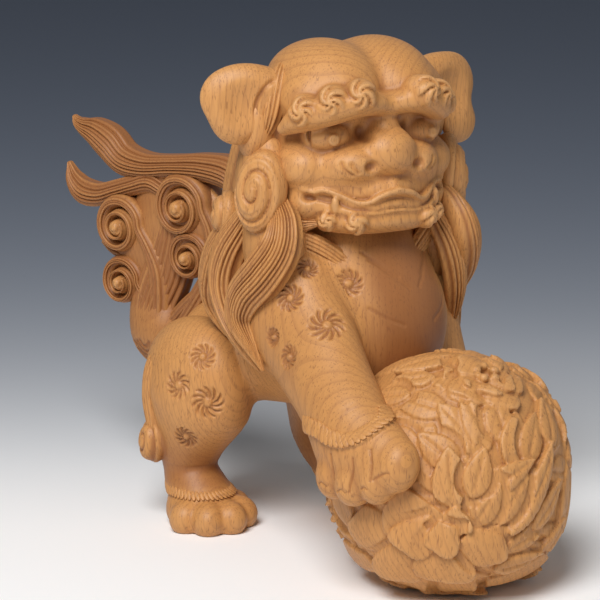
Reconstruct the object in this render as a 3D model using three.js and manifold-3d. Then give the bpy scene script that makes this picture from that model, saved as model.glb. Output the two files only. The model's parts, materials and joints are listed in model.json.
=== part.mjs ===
// A guardian lion carved in wood, standing with its right forepaw on a peony ball.
// The figure is glued up from separately sawn blocks, indexed by dowels, and carved.
// Millimetres. The lion looks along -Y, its left side is +X, and it stands on Z = 0.
import * as THREE from 'three';
import { mergeVertices } from 'three/addons/utils/BufferGeometryUtils.js';
import Module from 'manifold-3d';

const wasm = await Module();
wasm.setup();

// Joinery
const GLUE_GAP = 0.3;
const DOWEL_RADIUS = 3;
const DOWEL_FIT = 0.2;
const DOWEL_DEPTH = 7;
const DOWEL_SPACING = 14;
const EAR_DOWEL_RADIUS = 2;

// Trunk: sections of the body block at the rump, the loin, the chest and the breast, which swells
const RUMP_Y = 58;
const RUMP_HEIGHT = 65;
const RUMP_WIDTH = 44;
const RUMP_DEPTH = 38;
const LOIN_Y = 30;
const LOIN_HEIGHT = 65;
const LOIN_WIDTH = 46;
const LOIN_DEPTH = 35;
const CHEST_Y = -12;
const CHEST_HEIGHT = 85;
const CHEST_WIDTH = 62;
const CHEST_DEPTH = 70;
const BREAST_Y = -25;
const BREAST_HEIGHT = 92;
const BREAST_WIDTH = 54;
const BREAST_DEPTH = 64;
const BREAST_SWELL = 23;

// Hind legs: flat seats on the trunk, stances from the middle plane, and limb sizes
const HIP_SEAT = 15;
const HIP_PIN_HEIGHT = 62;
const HIND_STANCE = 27;
const HIND_RIGHT_Y = 36;
const HIND_RIGHT_LEAN = 6;
const HIND_LEFT_LEAN = 22;
const STEP_GAP = 1.5;
const THIGH_HEIGHT = 55;
const THIGH_WIDTH = 34;
const THIGH_LENGTH = 50;
const THIGH_DEPTH = 52;
const HOCK_HEIGHT = 30;
const HOCK_WIDTH = 24;
const HOCK_SETBACK = 7;
const ANKLE_HEIGHT = 18;
const ANKLE_WIDTH = 20;
const TUFT_WIDTH = 11;
const TUFT_KNOT = 6.5;
const FOOT_WIDTH = 35;
const FOOT_LENGTH = 40;
const FOOT_HEIGHT = 15;
const TOE_WIDTH = 13;

// Forelegs: the left one stands and the right one is raised
const SHOULDER_SEAT = 19;
const FORE_STANCE = 31;
const FORE_LEFT_Y = -39;
const FORE_WIDTH = 26;
const SHOULDER_HEIGHT = 95;
const SHOULDER_WIDTH = 27;
const SHOULDER_LENGTH = 42;
const SHOULDER_DEPTH = 52;
const ELBOW_HEIGHT = 83;
const ELBOW_REACH = 20;
const ELBOW_SPREAD = 4;

// Ball, with relief petals, and the paw that holds its right side
const BALL_RADIUS = 45;
const BALL_RELIEF = 3;
const BALL_FLAT = 4;
const BALL_X = -5.4;
const BALL_Y = -72;
const PETAL_LENGTH = 19;
const PETAL_WIDTH = 17;
const LEAF_LENGTH = 34;
const LEAF_WIDTH = 13;
const PAW_RISE = 12;
const PAW_LENGTH = 30;
const PAW_WIDTH = 44;
const PAW_DEPTH = 20;

// Head, turned to the lion's right; its own axes are side, forward and up from the ear line
const HEAD_X = -2;
const HEAD_Y = -13;
const HEAD_HEIGHT = 168;
const HEAD_TURN = 12;
const SKULL_WIDTH = 66;
const SKULL_LENGTH = 60;
const SKULL_DEPTH = 46;
const NECK_HEIGHT = 110;
const EAR_HOUSING = 4;
const EAR_LENGTH = 29;
const EAR_DEPTH = 29;
const EAR_THICKNESS = 9;

// Tail, turned a little to the lion's right; its own axes are backward and up from its bend
const TAIL_X = -3;
const TAIL_HEIGHT = 70;
const TAIL_TURN = 10;
const TAIL_HOUSING = 6;
const TAIL_STANDOFF = 28;
const STEM_WIDTH = 22;
const PLUME_HEIGHT = 78;
const PLUME_THICKNESS = 20;

// Carved curls: a ribbon wound inwards, in shares of the curl's radius
const CURL_SPINE = 0.78;
const CURL_RIBBON = 0.14;
const CURL_SHRINK = 0.5;
const CURL_TURNS = 1.5;

const FAR = 400;
const WOOD = 0xb9793f;
const UP = new THREE.Vector3(0, 0, 1);
const RIGHT_AND_LEFT = [-1, 1];
const PIN_PAIR = [-0.5, 0.5];
const THREE_TOES = [-1, 0, 1];
const FOUR_TOES = [-1, -1 / 3, 1 / 3, 1];
const sideName = (m) => (m < 0 ? 'right' : 'left');
const at = (x, y, z) => new THREE.Vector3(x, y, z);
const radians = THREE.MathUtils.degToRad;

function solid(geometry) {
  const bare = geometry.clone();
  bare.deleteAttribute('normal');
  bare.deleteAttribute('uv');
  const merged = mergeVertices(bare, 1e-4);
  return new wasm.Manifold(new wasm.Mesh({
    numProp: 3,
    vertProperties: Float32Array.from(merged.attributes.position.array),
    triVerts: Uint32Array.from(merged.index.array),
  }));
}

const join = (...solids) => solids.flat(Infinity).reduce((whole, next) => whole.add(next));
const cut = (whole, ...tools) => tools.flat(Infinity).reduce((rest, tool) => rest.subtract(tool), whole);

// A rounded mass: an ellipsoid on three given axes, or on X, Y and Z turned about Z.
function blob(center, radii, grow = 0, { turn = 0, axes = null, sides = 8 } = {}) {
  const geometry = new THREE.SphereGeometry(1, sides, Math.round(sides * 0.67));
  geometry.rotateX(Math.PI / 2);
  geometry.scale(radii[0] + grow, radii[1] + grow, radii[2] + grow);
  geometry.rotateZ(radians(turn));
  if (axes) {
    geometry.applyMatrix4(new THREE.Matrix4().makeBasis(...axes));
  }
  geometry.translate(center.x, center.y, center.z);
  return solid(geometry);
}

// A limb or lock of hair: elliptical rings along a smooth spine, closed by rounded ends.
// Each station is [place, half width along the side direction, half depth across it].
// A flat one has a face, and not an edge, at the middle of its width.
function limb(stations, grow = 0, shape = {}) {
  const { sides = 8, steps = 2, side = at(1, 0, 0), cap = 0.7, flat = false } = shape;
  const spine = new THREE.CatmullRomCurve3(stations.map((s) => s[0]), false, 'centripetal');
  const sizes = new THREE.CatmullRomCurve3(stations.map((s) => at(s[1], s[2], 0)), false, 'centripetal');
  const last = (stations.length - 1) * steps;
  const points = [];
  const addRing = (u, bulge, sign) => {
    const along = spine.getTangent(u);
    const size = sizes.getPoint(u);
    const reach = sign * Math.sin(bulge) * (cap * Math.min(size.x, size.y) + grow);
    const place = spine.getPoint(u).addScaledVector(along, reach);
    const depthway = new THREE.Vector3().crossVectors(along, side).normalize();
    const sideway = new THREE.Vector3().crossVectors(depthway, along).normalize();
    size.addScalar(grow).multiplyScalar(Math.cos(bulge));
    for (let k = 0; k < sides; k += 1) {
      const angle = (2 * Math.PI * (k + (flat ? 0.5 : 0))) / sides;
      points.push(place.clone()
        .addScaledVector(sideway, size.x * Math.cos(angle))
        .addScaledVector(depthway, size.y * Math.sin(angle)));
    }
  };
  const shoulderOfCap = radians(45);
  addRing(0, shoulderOfCap, -1);
  for (let i = 0; i <= last; i += 1) {
    addRing(i / last, 0, 0);
  }
  addRing(1, shoulderOfCap, 1);
  const rings = last + 3;
  const index = [];
  for (let r = 0; r < rings - 1; r += 1) {
    for (let k = 0; k < sides; k += 1) {
      const a = r * sides + k;
      const b = r * sides + ((k + 1) % sides);
      index.push(a, b, b + sides, a, b + sides, a + sides);
    }
  }
  const poles = points.length;
  for (const [u, sign] of [[0, -1], [1, 1]]) {
    const size = sizes.getPoint(u);
    const reach = sign * (cap * Math.min(size.x, size.y) + grow);
    points.push(spine.getPoint(u).addScaledVector(spine.getTangent(u), reach));
  }
  const top = (rings - 1) * sides;
  for (let k = 0; k < sides; k += 1) {
    const next = (k + 1) % sides;
    index.push(poles, next, k, poles + 1, top + k, top + next);
  }
  const geometry = new THREE.BufferGeometry().setFromPoints(points);
  geometry.setIndex(index);
  return solid(geometry);
}

// A carved curl in the plane of two directions: a square ribbon wound inwards.
// The ribbon narrows as it winds, so that neighbouring turns stay clear of each other.
function curl(center, across, upward, { radius, start, deep }, grow = 0) {
  const facing = new THREE.Vector3().crossVectors(across, upward).normalize();
  const steps = 6 * CURL_TURNS;
  const stations = [];
  for (let i = 0; i <= steps; i += 1) {
    const turned = (CURL_TURNS * i) / steps;
    const angle = radians(start) + 2 * Math.PI * turned;
    const shrink = Math.exp(-CURL_SHRINK * turned);
    const reach = radius * CURL_SPINE * shrink;
    const place = center.clone()
      .addScaledVector(across, reach * Math.cos(angle))
      .addScaledVector(upward, reach * Math.sin(angle));
    stations.push([place, deep * Math.SQRT2, radius * CURL_RIBBON * Math.SQRT2 * shrink]);
  }
  return limb(stations, grow, { sides: 4, steps: 1, side: facing, flat: true });
}

function box(low, high) {
  const size = high.clone().sub(low);
  const middle = low.clone().add(high).multiplyScalar(0.5);
  return solid(new THREE.BoxGeometry(size.x, size.y, size.z).translate(middle.x, middle.y, middle.z));
}

const underground = box(at(-FAR, -FAR, -FAR), at(FAR, FAR, 0));

// Dowels: each is a pin laid across a glue face, and the hole for it in both pieces
const dowels = [];
function dowel(name, place, direction, radius = DOWEL_RADIUS) {
  const length = 2 * DOWEL_DEPTH;
  const turn = new THREE.Quaternion().setFromUnitVectors(at(0, 1, 0), direction.clone().normalize());
  const rod = (r, l) => new THREE.CylinderGeometry(r, r, l, 8);
  dowels.push({ name, place, turn, geometry: rod(radius, length) });
  const hole = rod(radius + DOWEL_FIT, length + 2 * GLUE_GAP);
  return solid(hole.applyQuaternion(turn).translate(place.x, place.y, place.z));
}

// Trunk: a barrel with a full breast before it
function trunkForm(grow = 0) {
  const barrel = limb([
    [at(0, RUMP_Y, RUMP_HEIGHT), RUMP_WIDTH / 2, RUMP_DEPTH / 2],
    [at(0, LOIN_Y, LOIN_HEIGHT), LOIN_WIDTH / 2, LOIN_DEPTH / 2],
    [at(0, CHEST_Y, CHEST_HEIGHT), CHEST_WIDTH / 2, CHEST_DEPTH / 2],
    [at(0, BREAST_Y, BREAST_HEIGHT), BREAST_WIDTH / 2, BREAST_DEPTH / 2],
  ], grow, { sides: 10, cap: 0.55 });
  const swell = [BREAST_WIDTH / 2, BREAST_SWELL, BREAST_DEPTH / 2];
  const breast = blob(at(0, BREAST_Y, CHEST_HEIGHT), swell, grow, { sides: 9 });
  return join(barrel, breast);
}

// A standing foot: a rounded pad with four toes in front
function footForm(x, y, grow) {
  const toe = TOE_WIDTH / 2;
  const toeLength = 1.4 * toe;
  const toes = FOUR_TOES.map((n) => {
    const aside = n * (FOOT_WIDTH / 2 - toe);
    const lead = FOOT_LENGTH / 2 - toeLength - toe * 0.23 * Math.abs(n);
    return blob(at(x + aside, y - lead, 0.7 * toe), [toe, toeLength, 1.15 * toe], grow, { sides: 6 });
  });
  const pad = blob(at(x, y, FOOT_HEIGHT / 3), [FOOT_WIDTH / 2, FOOT_LENGTH / 2, FOOT_HEIGHT * 0.7], grow);
  return join(pad, toes);
}

// A hind leg: a full thigh, a bent hock, a foot, and a tuft of hair that ends in a knot behind.
// The tuft lies towards the outer side.
function hindForm(side, footY, lean, grow = 0) {
  const x = side * HIND_STANCE;
  const thighY = footY + lean;
  const hockY = thighY + HOCK_SETBACK;
  const heelY = footY + FOOT_LENGTH / 4;
  const thighBack = thighY + THIGH_LENGTH / 2;
  const thigh = blob(at(x, thighY, THIGH_HEIGHT), [THIGH_WIDTH / 2, THIGH_LENGTH / 2, THIGH_DEPTH / 2], grow,
    { sides: 11 });
  const shank = limb([
    [at(x, thighY, THIGH_HEIGHT - THIGH_DEPTH * 0.17), THIGH_WIDTH * 0.42, THIGH_LENGTH * 0.38],
    [at(x, hockY, HOCK_HEIGHT), HOCK_WIDTH / 2, HOCK_WIDTH / 2],
    [at(x, (hockY + heelY) / 2, ANKLE_HEIGHT), ANKLE_WIDTH / 2, ANKLE_WIDTH / 2],
    [at(x, heelY - ANKLE_WIDTH / 5, FOOT_HEIGHT / 2), ANKLE_WIDTH * 0.6, ANKLE_WIDTH * 0.6],
  ], grow);
  const hair = TUFT_WIDTH / 2;
  const hairX = x + side * hair * 0.7;
  const knotPlace = at(hairX, hockY + HOCK_WIDTH / 2, HOCK_HEIGHT + TUFT_KNOT / 2);
  const tuft = limb([
    [at(hairX, thighBack - hair, THIGH_HEIGHT + THIGH_DEPTH * 0.22), hair, hair * 0.8],
    [at(hairX, thighBack, THIGH_HEIGHT - THIGH_DEPTH * 0.1), hair, hair],
    [knotPlace, hair, hair],
  ], grow, { sides: 6 });
  const knot = blob(knotPlace, [TUFT_KNOT, TUFT_KNOT, TUFT_KNOT], grow, { sides: 7 });
  return join(thigh, shank, tuft, knot, footForm(x, footY, grow));
}

const shoulderForm = (side, grow) => blob(at(side * FORE_STANCE, CHEST_Y, SHOULDER_HEIGHT),
  [SHOULDER_WIDTH / 2, SHOULDER_LENGTH / 2, SHOULDER_DEPTH / 2], grow, { sides: 10 });

function foreStandingForm(grow = 0) {
  const x = FORE_STANCE;
  const shinY = FORE_LEFT_Y + FOOT_LENGTH / 6;
  const leg = limb([
    [at(x, CHEST_Y - SHOULDER_LENGTH / 7, ELBOW_HEIGHT), SHOULDER_WIDTH * 0.46, FORE_WIDTH * 0.6],
    [at(x, shinY, ELBOW_HEIGHT * 0.69), FORE_WIDTH * 0.44, FORE_WIDTH * 0.47],
    [at(x, shinY, ELBOW_HEIGHT * 0.29), FORE_WIDTH * 0.4, FORE_WIDTH * 0.42],
    [at(x, shinY, FOOT_HEIGHT / 2), FORE_WIDTH * 0.44, FORE_WIDTH * 0.46],
  ], grow);
  return join(shoulderForm(1, grow), leg, footForm(x, FORE_LEFT_Y, grow));
}

// The raised foreleg bends at the elbow and lays its paw on the right side of the ball
const ballCenter = at(BALL_X, BALL_Y, BALL_RADIUS - BALL_FLAT);
const pawOutward = at(-1, 0, PAW_RISE / BALL_RADIUS).normalize();
const pawCenter = ballCenter.clone().addScaledVector(pawOutward, BALL_RADIUS);
const pawForward = at(0, -1, 0);
const pawDown = new THREE.Vector3().crossVectors(pawForward, pawOutward).normalize();

function foreRaisedForm(grow = 0) {
  const elbow = at(-FORE_STANCE - ELBOW_SPREAD, CHEST_Y - ELBOW_REACH, ELBOW_HEIGHT);
  const wrist = pawCenter.clone()
    .addScaledVector(pawForward, -PAW_WIDTH * 0.2)
    .addScaledVector(pawDown, -PAW_LENGTH * 0.3);
  const middle = elbow.clone().lerp(wrist, 0.6);
  const upperArm = at(-FORE_STANCE, CHEST_Y - SHOULDER_LENGTH / 7, SHOULDER_HEIGHT);
  const leg = limb([
    [upperArm, SHOULDER_WIDTH / 2, SHOULDER_WIDTH * 0.62],
    [elbow, FORE_WIDTH * 0.52, FORE_WIDTH * 0.68],
    [middle, FORE_WIDTH * 0.48, FORE_WIDTH * 0.56],
    [wrist, FORE_WIDTH * 0.5, FORE_WIDTH * 0.56],
  ], grow);
  const axes = [pawOutward, pawForward, pawDown.clone().negate()];
  const paw = blob(pawCenter, [PAW_DEPTH / 2, PAW_WIDTH / 2, PAW_LENGTH / 2], grow, { axes, sides: 9 });
  const toe = PAW_WIDTH / 5;
  const toes = THREE_TOES.map((n) => {
    const place = pawCenter.clone()
      .addScaledVector(pawForward, PAW_WIDTH * (0.08 + 0.33 * n))
      .addScaledVector(pawDown, PAW_LENGTH * (0.17 - 0.16 * n))
      .addScaledVector(pawOutward, PAW_DEPTH * (0.14 - 0.06 * n));
    return blob(place, [0.9 * toe, toe, 1.05 * toe], grow, { axes, sides: 7 });
  });
  return join(shoulderForm(-1, grow), leg, paw, toes);
}

// Ball: a round core with peony blossoms and lance leaves in relief
function ballForm() {
  const core = BALL_RADIUS - BALL_RELIEF;
  const rooted = BALL_RELIEF / 2;
  const pad = (direction, along, long, wide) => {
    const across = new THREE.Vector3().crossVectors(direction, along).normalize();
    const lengthwise = new THREE.Vector3().crossVectors(across, direction);
    const center = ballCenter.clone().addScaledVector(direction, core - rooted);
    const axes = [lengthwise, across, direction];
    return blob(center, [long / 2, wide / 2, BALL_RELIEF + rooted], 0, { axes, sides: 6 });
  };
  const below = at(-0.77, -0.46, -0.44).normalize();
  const above = at(0.15, -0.32, 0.94).normalize();
  const beside = at(0.66, -0.7, -0.26).normalize();
  const blossoms = [below, above, beside].map((middle) => {
    const first = new THREE.Vector3().crossVectors(middle, at(0.31, 0.2, 0.93)).normalize();
    return [0, 1, 2, 3, 4].map((n) => {
      const outward = first.clone().applyAxisAngle(middle, (2 * Math.PI * n) / 5);
      const direction = middle.clone().addScaledVector(outward, PETAL_LENGTH * 0.6 / core).normalize();
      return pad(direction, outward, PETAL_LENGTH, PETAL_WIDTH);
    });
  });
  const leaves = [0, 1, 2, 3, 4, 5].map((n) => {
    const angle = radians(60 * n + 5);
    const direction = at(Math.cos(angle), Math.sin(angle), n % 2 ? 0.55 : -0.1).normalize();
    const along = at(-0.6 * Math.sin(angle), 0.6 * Math.cos(angle), 1);
    return pad(direction, along, LEAF_LENGTH, LEAF_WIDTH);
  });
  const sphere = blob(ballCenter, [core, core, core], 0, { sides: 13 });
  return join(sphere, blossoms, leaves);
}

// Head: places and half sizes are given in shares of half the skull's width
const headUnit = SKULL_WIDTH / 2;
const headPlace = at(HEAD_X, HEAD_Y, HEAD_HEIGHT);
const turnHead = (vector) => vector.applyAxisAngle(UP, radians(-HEAD_TURN));
const headAt = (side, forward, up) => turnHead(at(side, -forward, up))
  .multiplyScalar(headUnit)
  .add(headPlace);
const headBlob = (place, shares, grow, sides = 7) => blob(headAt(...place),
  shares.map((share) => share * headUnit), grow, { turn: -HEAD_TURN, sides });
const headForward = turnHead(at(0, -1, 0));
const headLeft = turnHead(at(1, 0, 0));

function headForm(grow = 0) {
  const skull = blob(headAt(0, -0.06, -0.06), [SKULL_WIDTH / 2, SKULL_LENGTH / 2, SKULL_DEPTH / 2], grow,
    { turn: -HEAD_TURN, sides: 9 });
  const bridge = headBlob([0, 0.75, -0.28], [0.22, 0.24, 0.22], grow, 6);
  const nose = headBlob([0, 0.82, -0.5], [0.37, 0.35, 0.31], grow);
  const muzzle = headBlob([0, 0.45, -0.78], [0.82, 0.58, 0.33], grow, 6);
  const jaw = headBlob([0, 0.38, -1.14], [0.8, 0.64, 0.32], grow, 6);
  const chin = headBlob([0, 0.8, -1.18], [0.46, 0.27, 0.16], grow, 6);
  const throat = headBlob([0, -0.15, -1.3], [0.82, 0.7, 0.67], grow, 6);
  const pairs = RIGHT_AND_LEFT.map((m) => {
    const crown = headBlob([m * 0.33, 0.09, 0.26], [0.58, 0.73, 0.47], grow);
    const temple = headBlob([m * 0.7, 0.52, 0.06], [0.38, 0.38, 0.36], grow, 6);
    const brow = headBlob([m * 0.33, 0.7, 0.09], [0.36, 0.3, 0.3], grow, 6);
    const eye = headBlob([m * 0.59, 0.66, -0.25], [0.23, 0.22, 0.18], grow, 6);
    const nostril = headBlob([m * 0.36, 0.77, -0.64], [0.28, 0.26, 0.2], grow, 6);
    const cheek = headBlob([m * 0.84, 0.5, -0.66], [0.18, 0.18, 0.18], grow, 6);
    const browCurls = [[0.46, 0.94, 0.19], [0.72, 0.8, 0.12], [0.92, 0.61, 0.02]].map(([s, g, h]) =>
      headBlob([m * s, g, h], [0.17, 0.15, 0.17], grow, 6));
    const beardCurls = [[0.44, 0.9, -1.19], [0.64, 0.7, -1.17]].map(([s, g, h]) =>
      headBlob([m * s, g, h], [0.14, 0.14, 0.14], grow, 6));
    return [crown, temple, brow, eye, nostril, cheek, browCurls, beardCurls];
  });
  const lipLine = [[-0.92, 0.46, -0.82], [-0.63, 0.74, -0.88], [-0.36, 0.92, -0.99], [0, 1, -0.86],
    [0.36, 0.92, -0.99], [0.63, 0.74, -0.88], [0.92, 0.46, -0.82]];
  const lip = headUnit * 0.105;
  const lips = limb(lipLine.map((place) => [headAt(...place), lip, lip]), grow,
    { side: UP, sides: 6, steps: 1 });
  return join(skull, bridge, nose, muzzle, jaw, chin, throat, pairs, lips, maneForm(grow));
}

// Mane: a hood behind the face, cheek curls, and locks that hang over the shoulders and down the back.
// The side locks lie as far out as the shoulders do, and five more hang down the back.
function maneForm(grow) {
  const span = (FORE_STANCE + SHOULDER_WIDTH / 2) / headUnit;
  const lock = (stations, side) => limb(stations.map(([s, g, h, w, d]) =>
    [headAt(s, g, h), w * headUnit, d * headUnit]), grow, { side, sides: 5, steps: 1 });
  const scroll = { radius: 0.48 * headUnit, deep: 0.14 * headUnit, start: 90 };
  const sides = RIGHT_AND_LEFT.map((m) => {
    const out = m * span;
    const slant = headLeft.clone().multiplyScalar(0.8 * m).addScaledVector(headForward, -0.6);
    return [
      headBlob([m * 1.12, 0.03, -0.88], [0.24, 0.27, 0.42], grow, 6),
      headBlob([m * 0.98, 0.1, -1.5], [0.35, 0.48, 0.65], grow, 6),
      curl(headAt(m * 1.21, 0.22, -0.86), slant, UP, scroll, grow),
      lock([[0.75 * out, 0.25, -1.1, 0.2, 0.2], [0.87 * out, 0.5, -1.55, 0.27, 0.21],
        [0.97 * out, 0.2, -2.03, 0.33, 0.21], [0.97 * out, 0.02, -2.36, 0.24, 0.18],
        [0.9 * out, 0.27, -2.67, 0.06, 0.06]], headForward),
      lock([[0.85 * out, -0.12, -1.21, 0.2, 0.2], [0.93 * out, -0.4, -1.7, 0.27, 0.2],
        [0.95 * out, -0.35, -2.2, 0.24, 0.2], [0.93 * out, -0.02, -2.65, 0.08, 0.08]], headForward),
      lock([[0.77 * out, -0.3, -1.03, 0.24, 0.24], [0.88 * out, -0.67, -1.7, 0.27, 0.24],
        [0.88 * out, -0.97, -2.24, 0.21, 0.18], [0.81 * out, -1.03, -2.64, 0.08, 0.08]], headForward),
    ];
  });
  const hood = headBlob([0, -0.61, -0.97], [1, 0.67, 1.21], grow);
  const nape = [[-0.83, 0.2], [-0.43, 0.22], [0, 0.24], [0.43, 0.22], [0.83, 0.2]].map(([s, w]) => {
    const near = 0.4 * Math.abs(s);
    return lock([[0.6 * s, near - 0.85, 0.2, 0.7 * w, 0.15], [0.95 * s, near - 1.36, -0.9, w, 0.18],
      [s, near - 1.38, near - 2.2, w, 0.22], [s, near - 1.27, near - 2.6, 0.08, 0.08]], headLeft);
  });
  return join(hood, sides, nape);
}

// Ears: drooping leaves, hollowed in front, housed in the sides of the head
const earSeat = SKULL_WIDTH / 2 - EAR_HOUSING;
const earAt = (m, out, forward, up) => turnHead(at(m * (earSeat + out), -forward, up)).add(headPlace);

function earForm(m, grow = 0) {
  const half = EAR_DEPTH / 2;
  const thick = EAR_THICKNESS / 2;
  const leaf = limb([
    [earAt(m, -DOWEL_DEPTH, 0, half * 0.15), half * 0.6, thick],
    [earAt(m, EAR_LENGTH * 0.4, 0, half * 0.12), half, thick],
    [earAt(m, EAR_LENGTH * 0.73, -thick * 0.4, 0), half * 0.8, thick],
    [earAt(m, EAR_LENGTH * 0.9, -thick * 0.4, -half * 0.1), half * 0.5, thick * 0.7],
  ], grow, { side: UP });
  const hollow = blob(earAt(m, EAR_LENGTH / 2, thick * 1.4, 0), [half * 0.7, thick, half * 0.65], -grow,
    { turn: -HEAD_TURN, sides: 8 });
  return cut(leaf, hollow);
}

// Tail: a stem that rises from the rump into a plume of curls and three flames.
// The plume's places and depths are given in shares of its height.
const tailSeat = RUMP_Y + TAIL_HOUSING;
const tailPlace = at(TAIL_X, tailSeat + TAIL_STANDOFF, TAIL_HEIGHT);
const turnTail = (vector) => vector.applyAxisAngle(UP, radians(TAIL_TURN));
const tailAt = (back, up) => turnTail(at(0, back, up).multiplyScalar(PLUME_HEIGHT)).add(tailPlace);
const tailSide = turnTail(at(1, 0, 0));
const tailFront = turnTail(at(0, -1, 0));

function tailForm(grow = 0) {
  const half = PLUME_THICKNESS / 2;
  const stemHalf = STEM_WIDTH / 2;
  const inRump = -(TAIL_STANDOFF + TAIL_HOUSING) / PLUME_HEIGHT;
  const spray = (stations) => limb(stations, grow, { side: tailSide, sides: 6, steps: 1 });
  const flame = (stations) => spray(stations.map(([b, h, thick, deep]) =>
    [tailAt(b, h), thick * half, deep * PLUME_HEIGHT]));
  const stem = spray([
    [tailAt(inRump, -0.06), stemHalf, stemHalf],
    [tailAt(-0.13, -0.13), stemHalf, stemHalf],
    [tailAt(0.03, -0.03), stemHalf, stemHalf],
    [tailAt(0.05, 0.26), half * 0.75, PLUME_HEIGHT * 0.2],
    [tailAt(-0.08, 0.51), half * 0.6, PLUME_HEIGHT * 0.24],
  ]);
  const upper = flame([[-0.5, 0.74, 0.6, 0.085], [-0.2, 0.81, 0.65, 0.085], [0.12, 0.785, 0.65, 0.08],
    [0.34, 0.87, 0.6, 0.1], [0.5, 0.945, 0.45, 0.06], [0.61, 0.985, 0.2, 0.02]]);
  const lower = flame([[0.02, 0.66, 0.65, 0.07], [0.2, 0.66, 0.65, 0.065], [0.4, 0.605, 0.6, 0.065],
    [0.56, 0.605, 0.5, 0.07], [0.64, 0.67, 0.4, 0.05], [0.665, 0.74, 0.2, 0.02]]);
  const third = flame([[0.1, 0.28, 0.6, 0.065], [0.26, 0.3, 0.5, 0.06], [0.43, 0.345, 0.15, 0.015]]);
  const plume = blob(tailAt(-0.13, 0.47), [half * 0.6, PLUME_HEIGHT * 0.35, PLUME_HEIGHT * 0.31], grow,
    { turn: TAIL_TURN, sides: 6 });
  const curls = [[0.23, 0.49, 0.17], [-0.17, 0.61, 0.18], [-0.22, 0.36, 0.14], [0.22, 0.19, 0.14]].map(
    ([b, h, share]) => {
      const radius = share * PLUME_HEIGHT;
      const boss = blob(tailAt(b, h), [half * 0.7, radius * 0.8, radius * 0.8], grow,
        { turn: TAIL_TURN, sides: 6 });
      return [boss, curl(tailAt(b, h), tailFront, UP, { radius, start: -10, deep: half }, grow)];
    });
  return join(stem, plume, upper, lower, third, curls);
}

// The four legs are let into flat seats on the sides of the trunk
const hindLeftY = FORE_LEFT_Y + FOOT_LENGTH + STEP_GAP;
const hipPins = (side, y) => PIN_PAIR.map((n) => at(side * HIP_SEAT, y + n * DOWEL_SPACING, HIP_PIN_HEIGHT));
const shoulderPins = (side) => PIN_PAIR.map((n) => at(side * SHOULDER_SEAT, CHEST_Y + n * DOWEL_SPACING,
  CHEST_HEIGHT + n * DOWEL_RADIUS));
const legs = [
  { name: 'hindleg_right', side: -1, seat: HIP_SEAT, pin: 'hip_dowel_right',
    pins: hipPins(-1, HIND_RIGHT_Y + HIND_RIGHT_LEAN),
    form: (grow) => hindForm(-1, HIND_RIGHT_Y, HIND_RIGHT_LEAN, grow) },
  { name: 'hindleg_left', side: 1, seat: HIP_SEAT, pin: 'hip_dowel_left',
    pins: hipPins(1, hindLeftY + HIND_LEFT_LEAN),
    form: (grow) => hindForm(1, hindLeftY, HIND_LEFT_LEAN, grow) },
  { name: 'foreleg_right', side: -1, seat: SHOULDER_SEAT, pin: 'shoulder_dowel_right',
    pins: shoulderPins(-1), form: foreRaisedForm },
  { name: 'foreleg_left', side: 1, seat: SHOULDER_SEAT, pin: 'shoulder_dowel_left',
    pins: shoulderPins(1), form: foreStandingForm },
];

const pieces = {};
const trunkGrown = trunkForm(GLUE_GAP);
let trunk = trunkForm();
for (const leg of legs) {
  const beyond = [leg.side * leg.seat, leg.side * FAR].sort((a, b) => a - b);
  const within = [leg.side * (leg.seat + GLUE_GAP), -leg.side * FAR].sort((a, b) => a - b);
  const slab = ([low, high]) => box(at(low, -FAR, -FAR), at(high, FAR, FAR));
  const holes = leg.pins.map((place, n) => dowel(`${leg.pin}_${n + 1}`, place, at(1, 0, 0)));
  leg.grown = leg.form(GLUE_GAP);
  trunk = cut(trunk, leg.grown.intersect(slab(beyond)), holes);
  pieces[leg.name] = cut(leg.form(0), trunkGrown.intersect(slab(within)), underground, holes);
}
const legsGrown = legs.map((leg) => leg.grown);

// The head and mane sit on a level neck face, and rest on the shoulders round it
const headGrown = headForm(GLUE_GAP);
const aboveNeck = box(at(-FAR, -FAR, NECK_HEIGHT), at(FAR, FAR, FAR));
const belowNeck = box(at(-FAR, -FAR, -FAR), at(FAR, FAR, NECK_HEIGHT + GLUE_GAP));
const neckHoles = PIN_PAIR.map((n) => dowel(`neck_dowel_${n + 1.5}`,
  at(HEAD_X, CHEST_Y + n * DOWEL_SPACING, NECK_HEIGHT), UP));
trunk = cut(trunk, headGrown.intersect(aboveNeck), neckHoles);
let head = cut(headForm(), trunkGrown.intersect(belowNeck), legsGrown, neckHoles);

// The ears are let into flat seats on the sides of the head
for (const m of RIGHT_AND_LEFT) {
  const past = (low) => solid(new THREE.BoxGeometry(FAR, FAR, FAR)
    .translate(m * (FAR / 2 + low), 0, 0).rotateZ(radians(-HEAD_TURN)).translate(...headPlace.toArray()));
  const hole = dowel(`ear_dowel_${sideName(m)}`, earAt(m, 0, 0, 0), headLeft, EAR_DOWEL_RADIUS);
  pieces[`ear_${sideName(m)}`] = cut(earForm(m).intersect(past(earSeat + GLUE_GAP)), hole);
  head = cut(head, earForm(m, GLUE_GAP).intersect(past(earSeat)), hole);
}
pieces.head = head;

// The tail is let into a flat seat on the rump
const behindSeat = box(at(-FAR, tailSeat, -FAR), at(FAR, FAR, FAR));
const beforeSeat = box(at(-FAR, -FAR, -FAR), at(FAR, tailSeat + GLUE_GAP, FAR));
const tailHoles = PIN_PAIR.map((n) => dowel(`tail_dowel_${n + 1.5}`,
  at(TAIL_X, tailSeat, RUMP_HEIGHT + n * DOWEL_SPACING), at(0, 1, 0)));
trunk = cut(trunk, tailForm(GLUE_GAP).intersect(behindSeat), tailHoles);
pieces.tail = cut(tailForm(), trunkGrown.intersect(beforeSeat), legsGrown, headGrown, tailHoles);
pieces.trunk = trunk;

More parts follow.
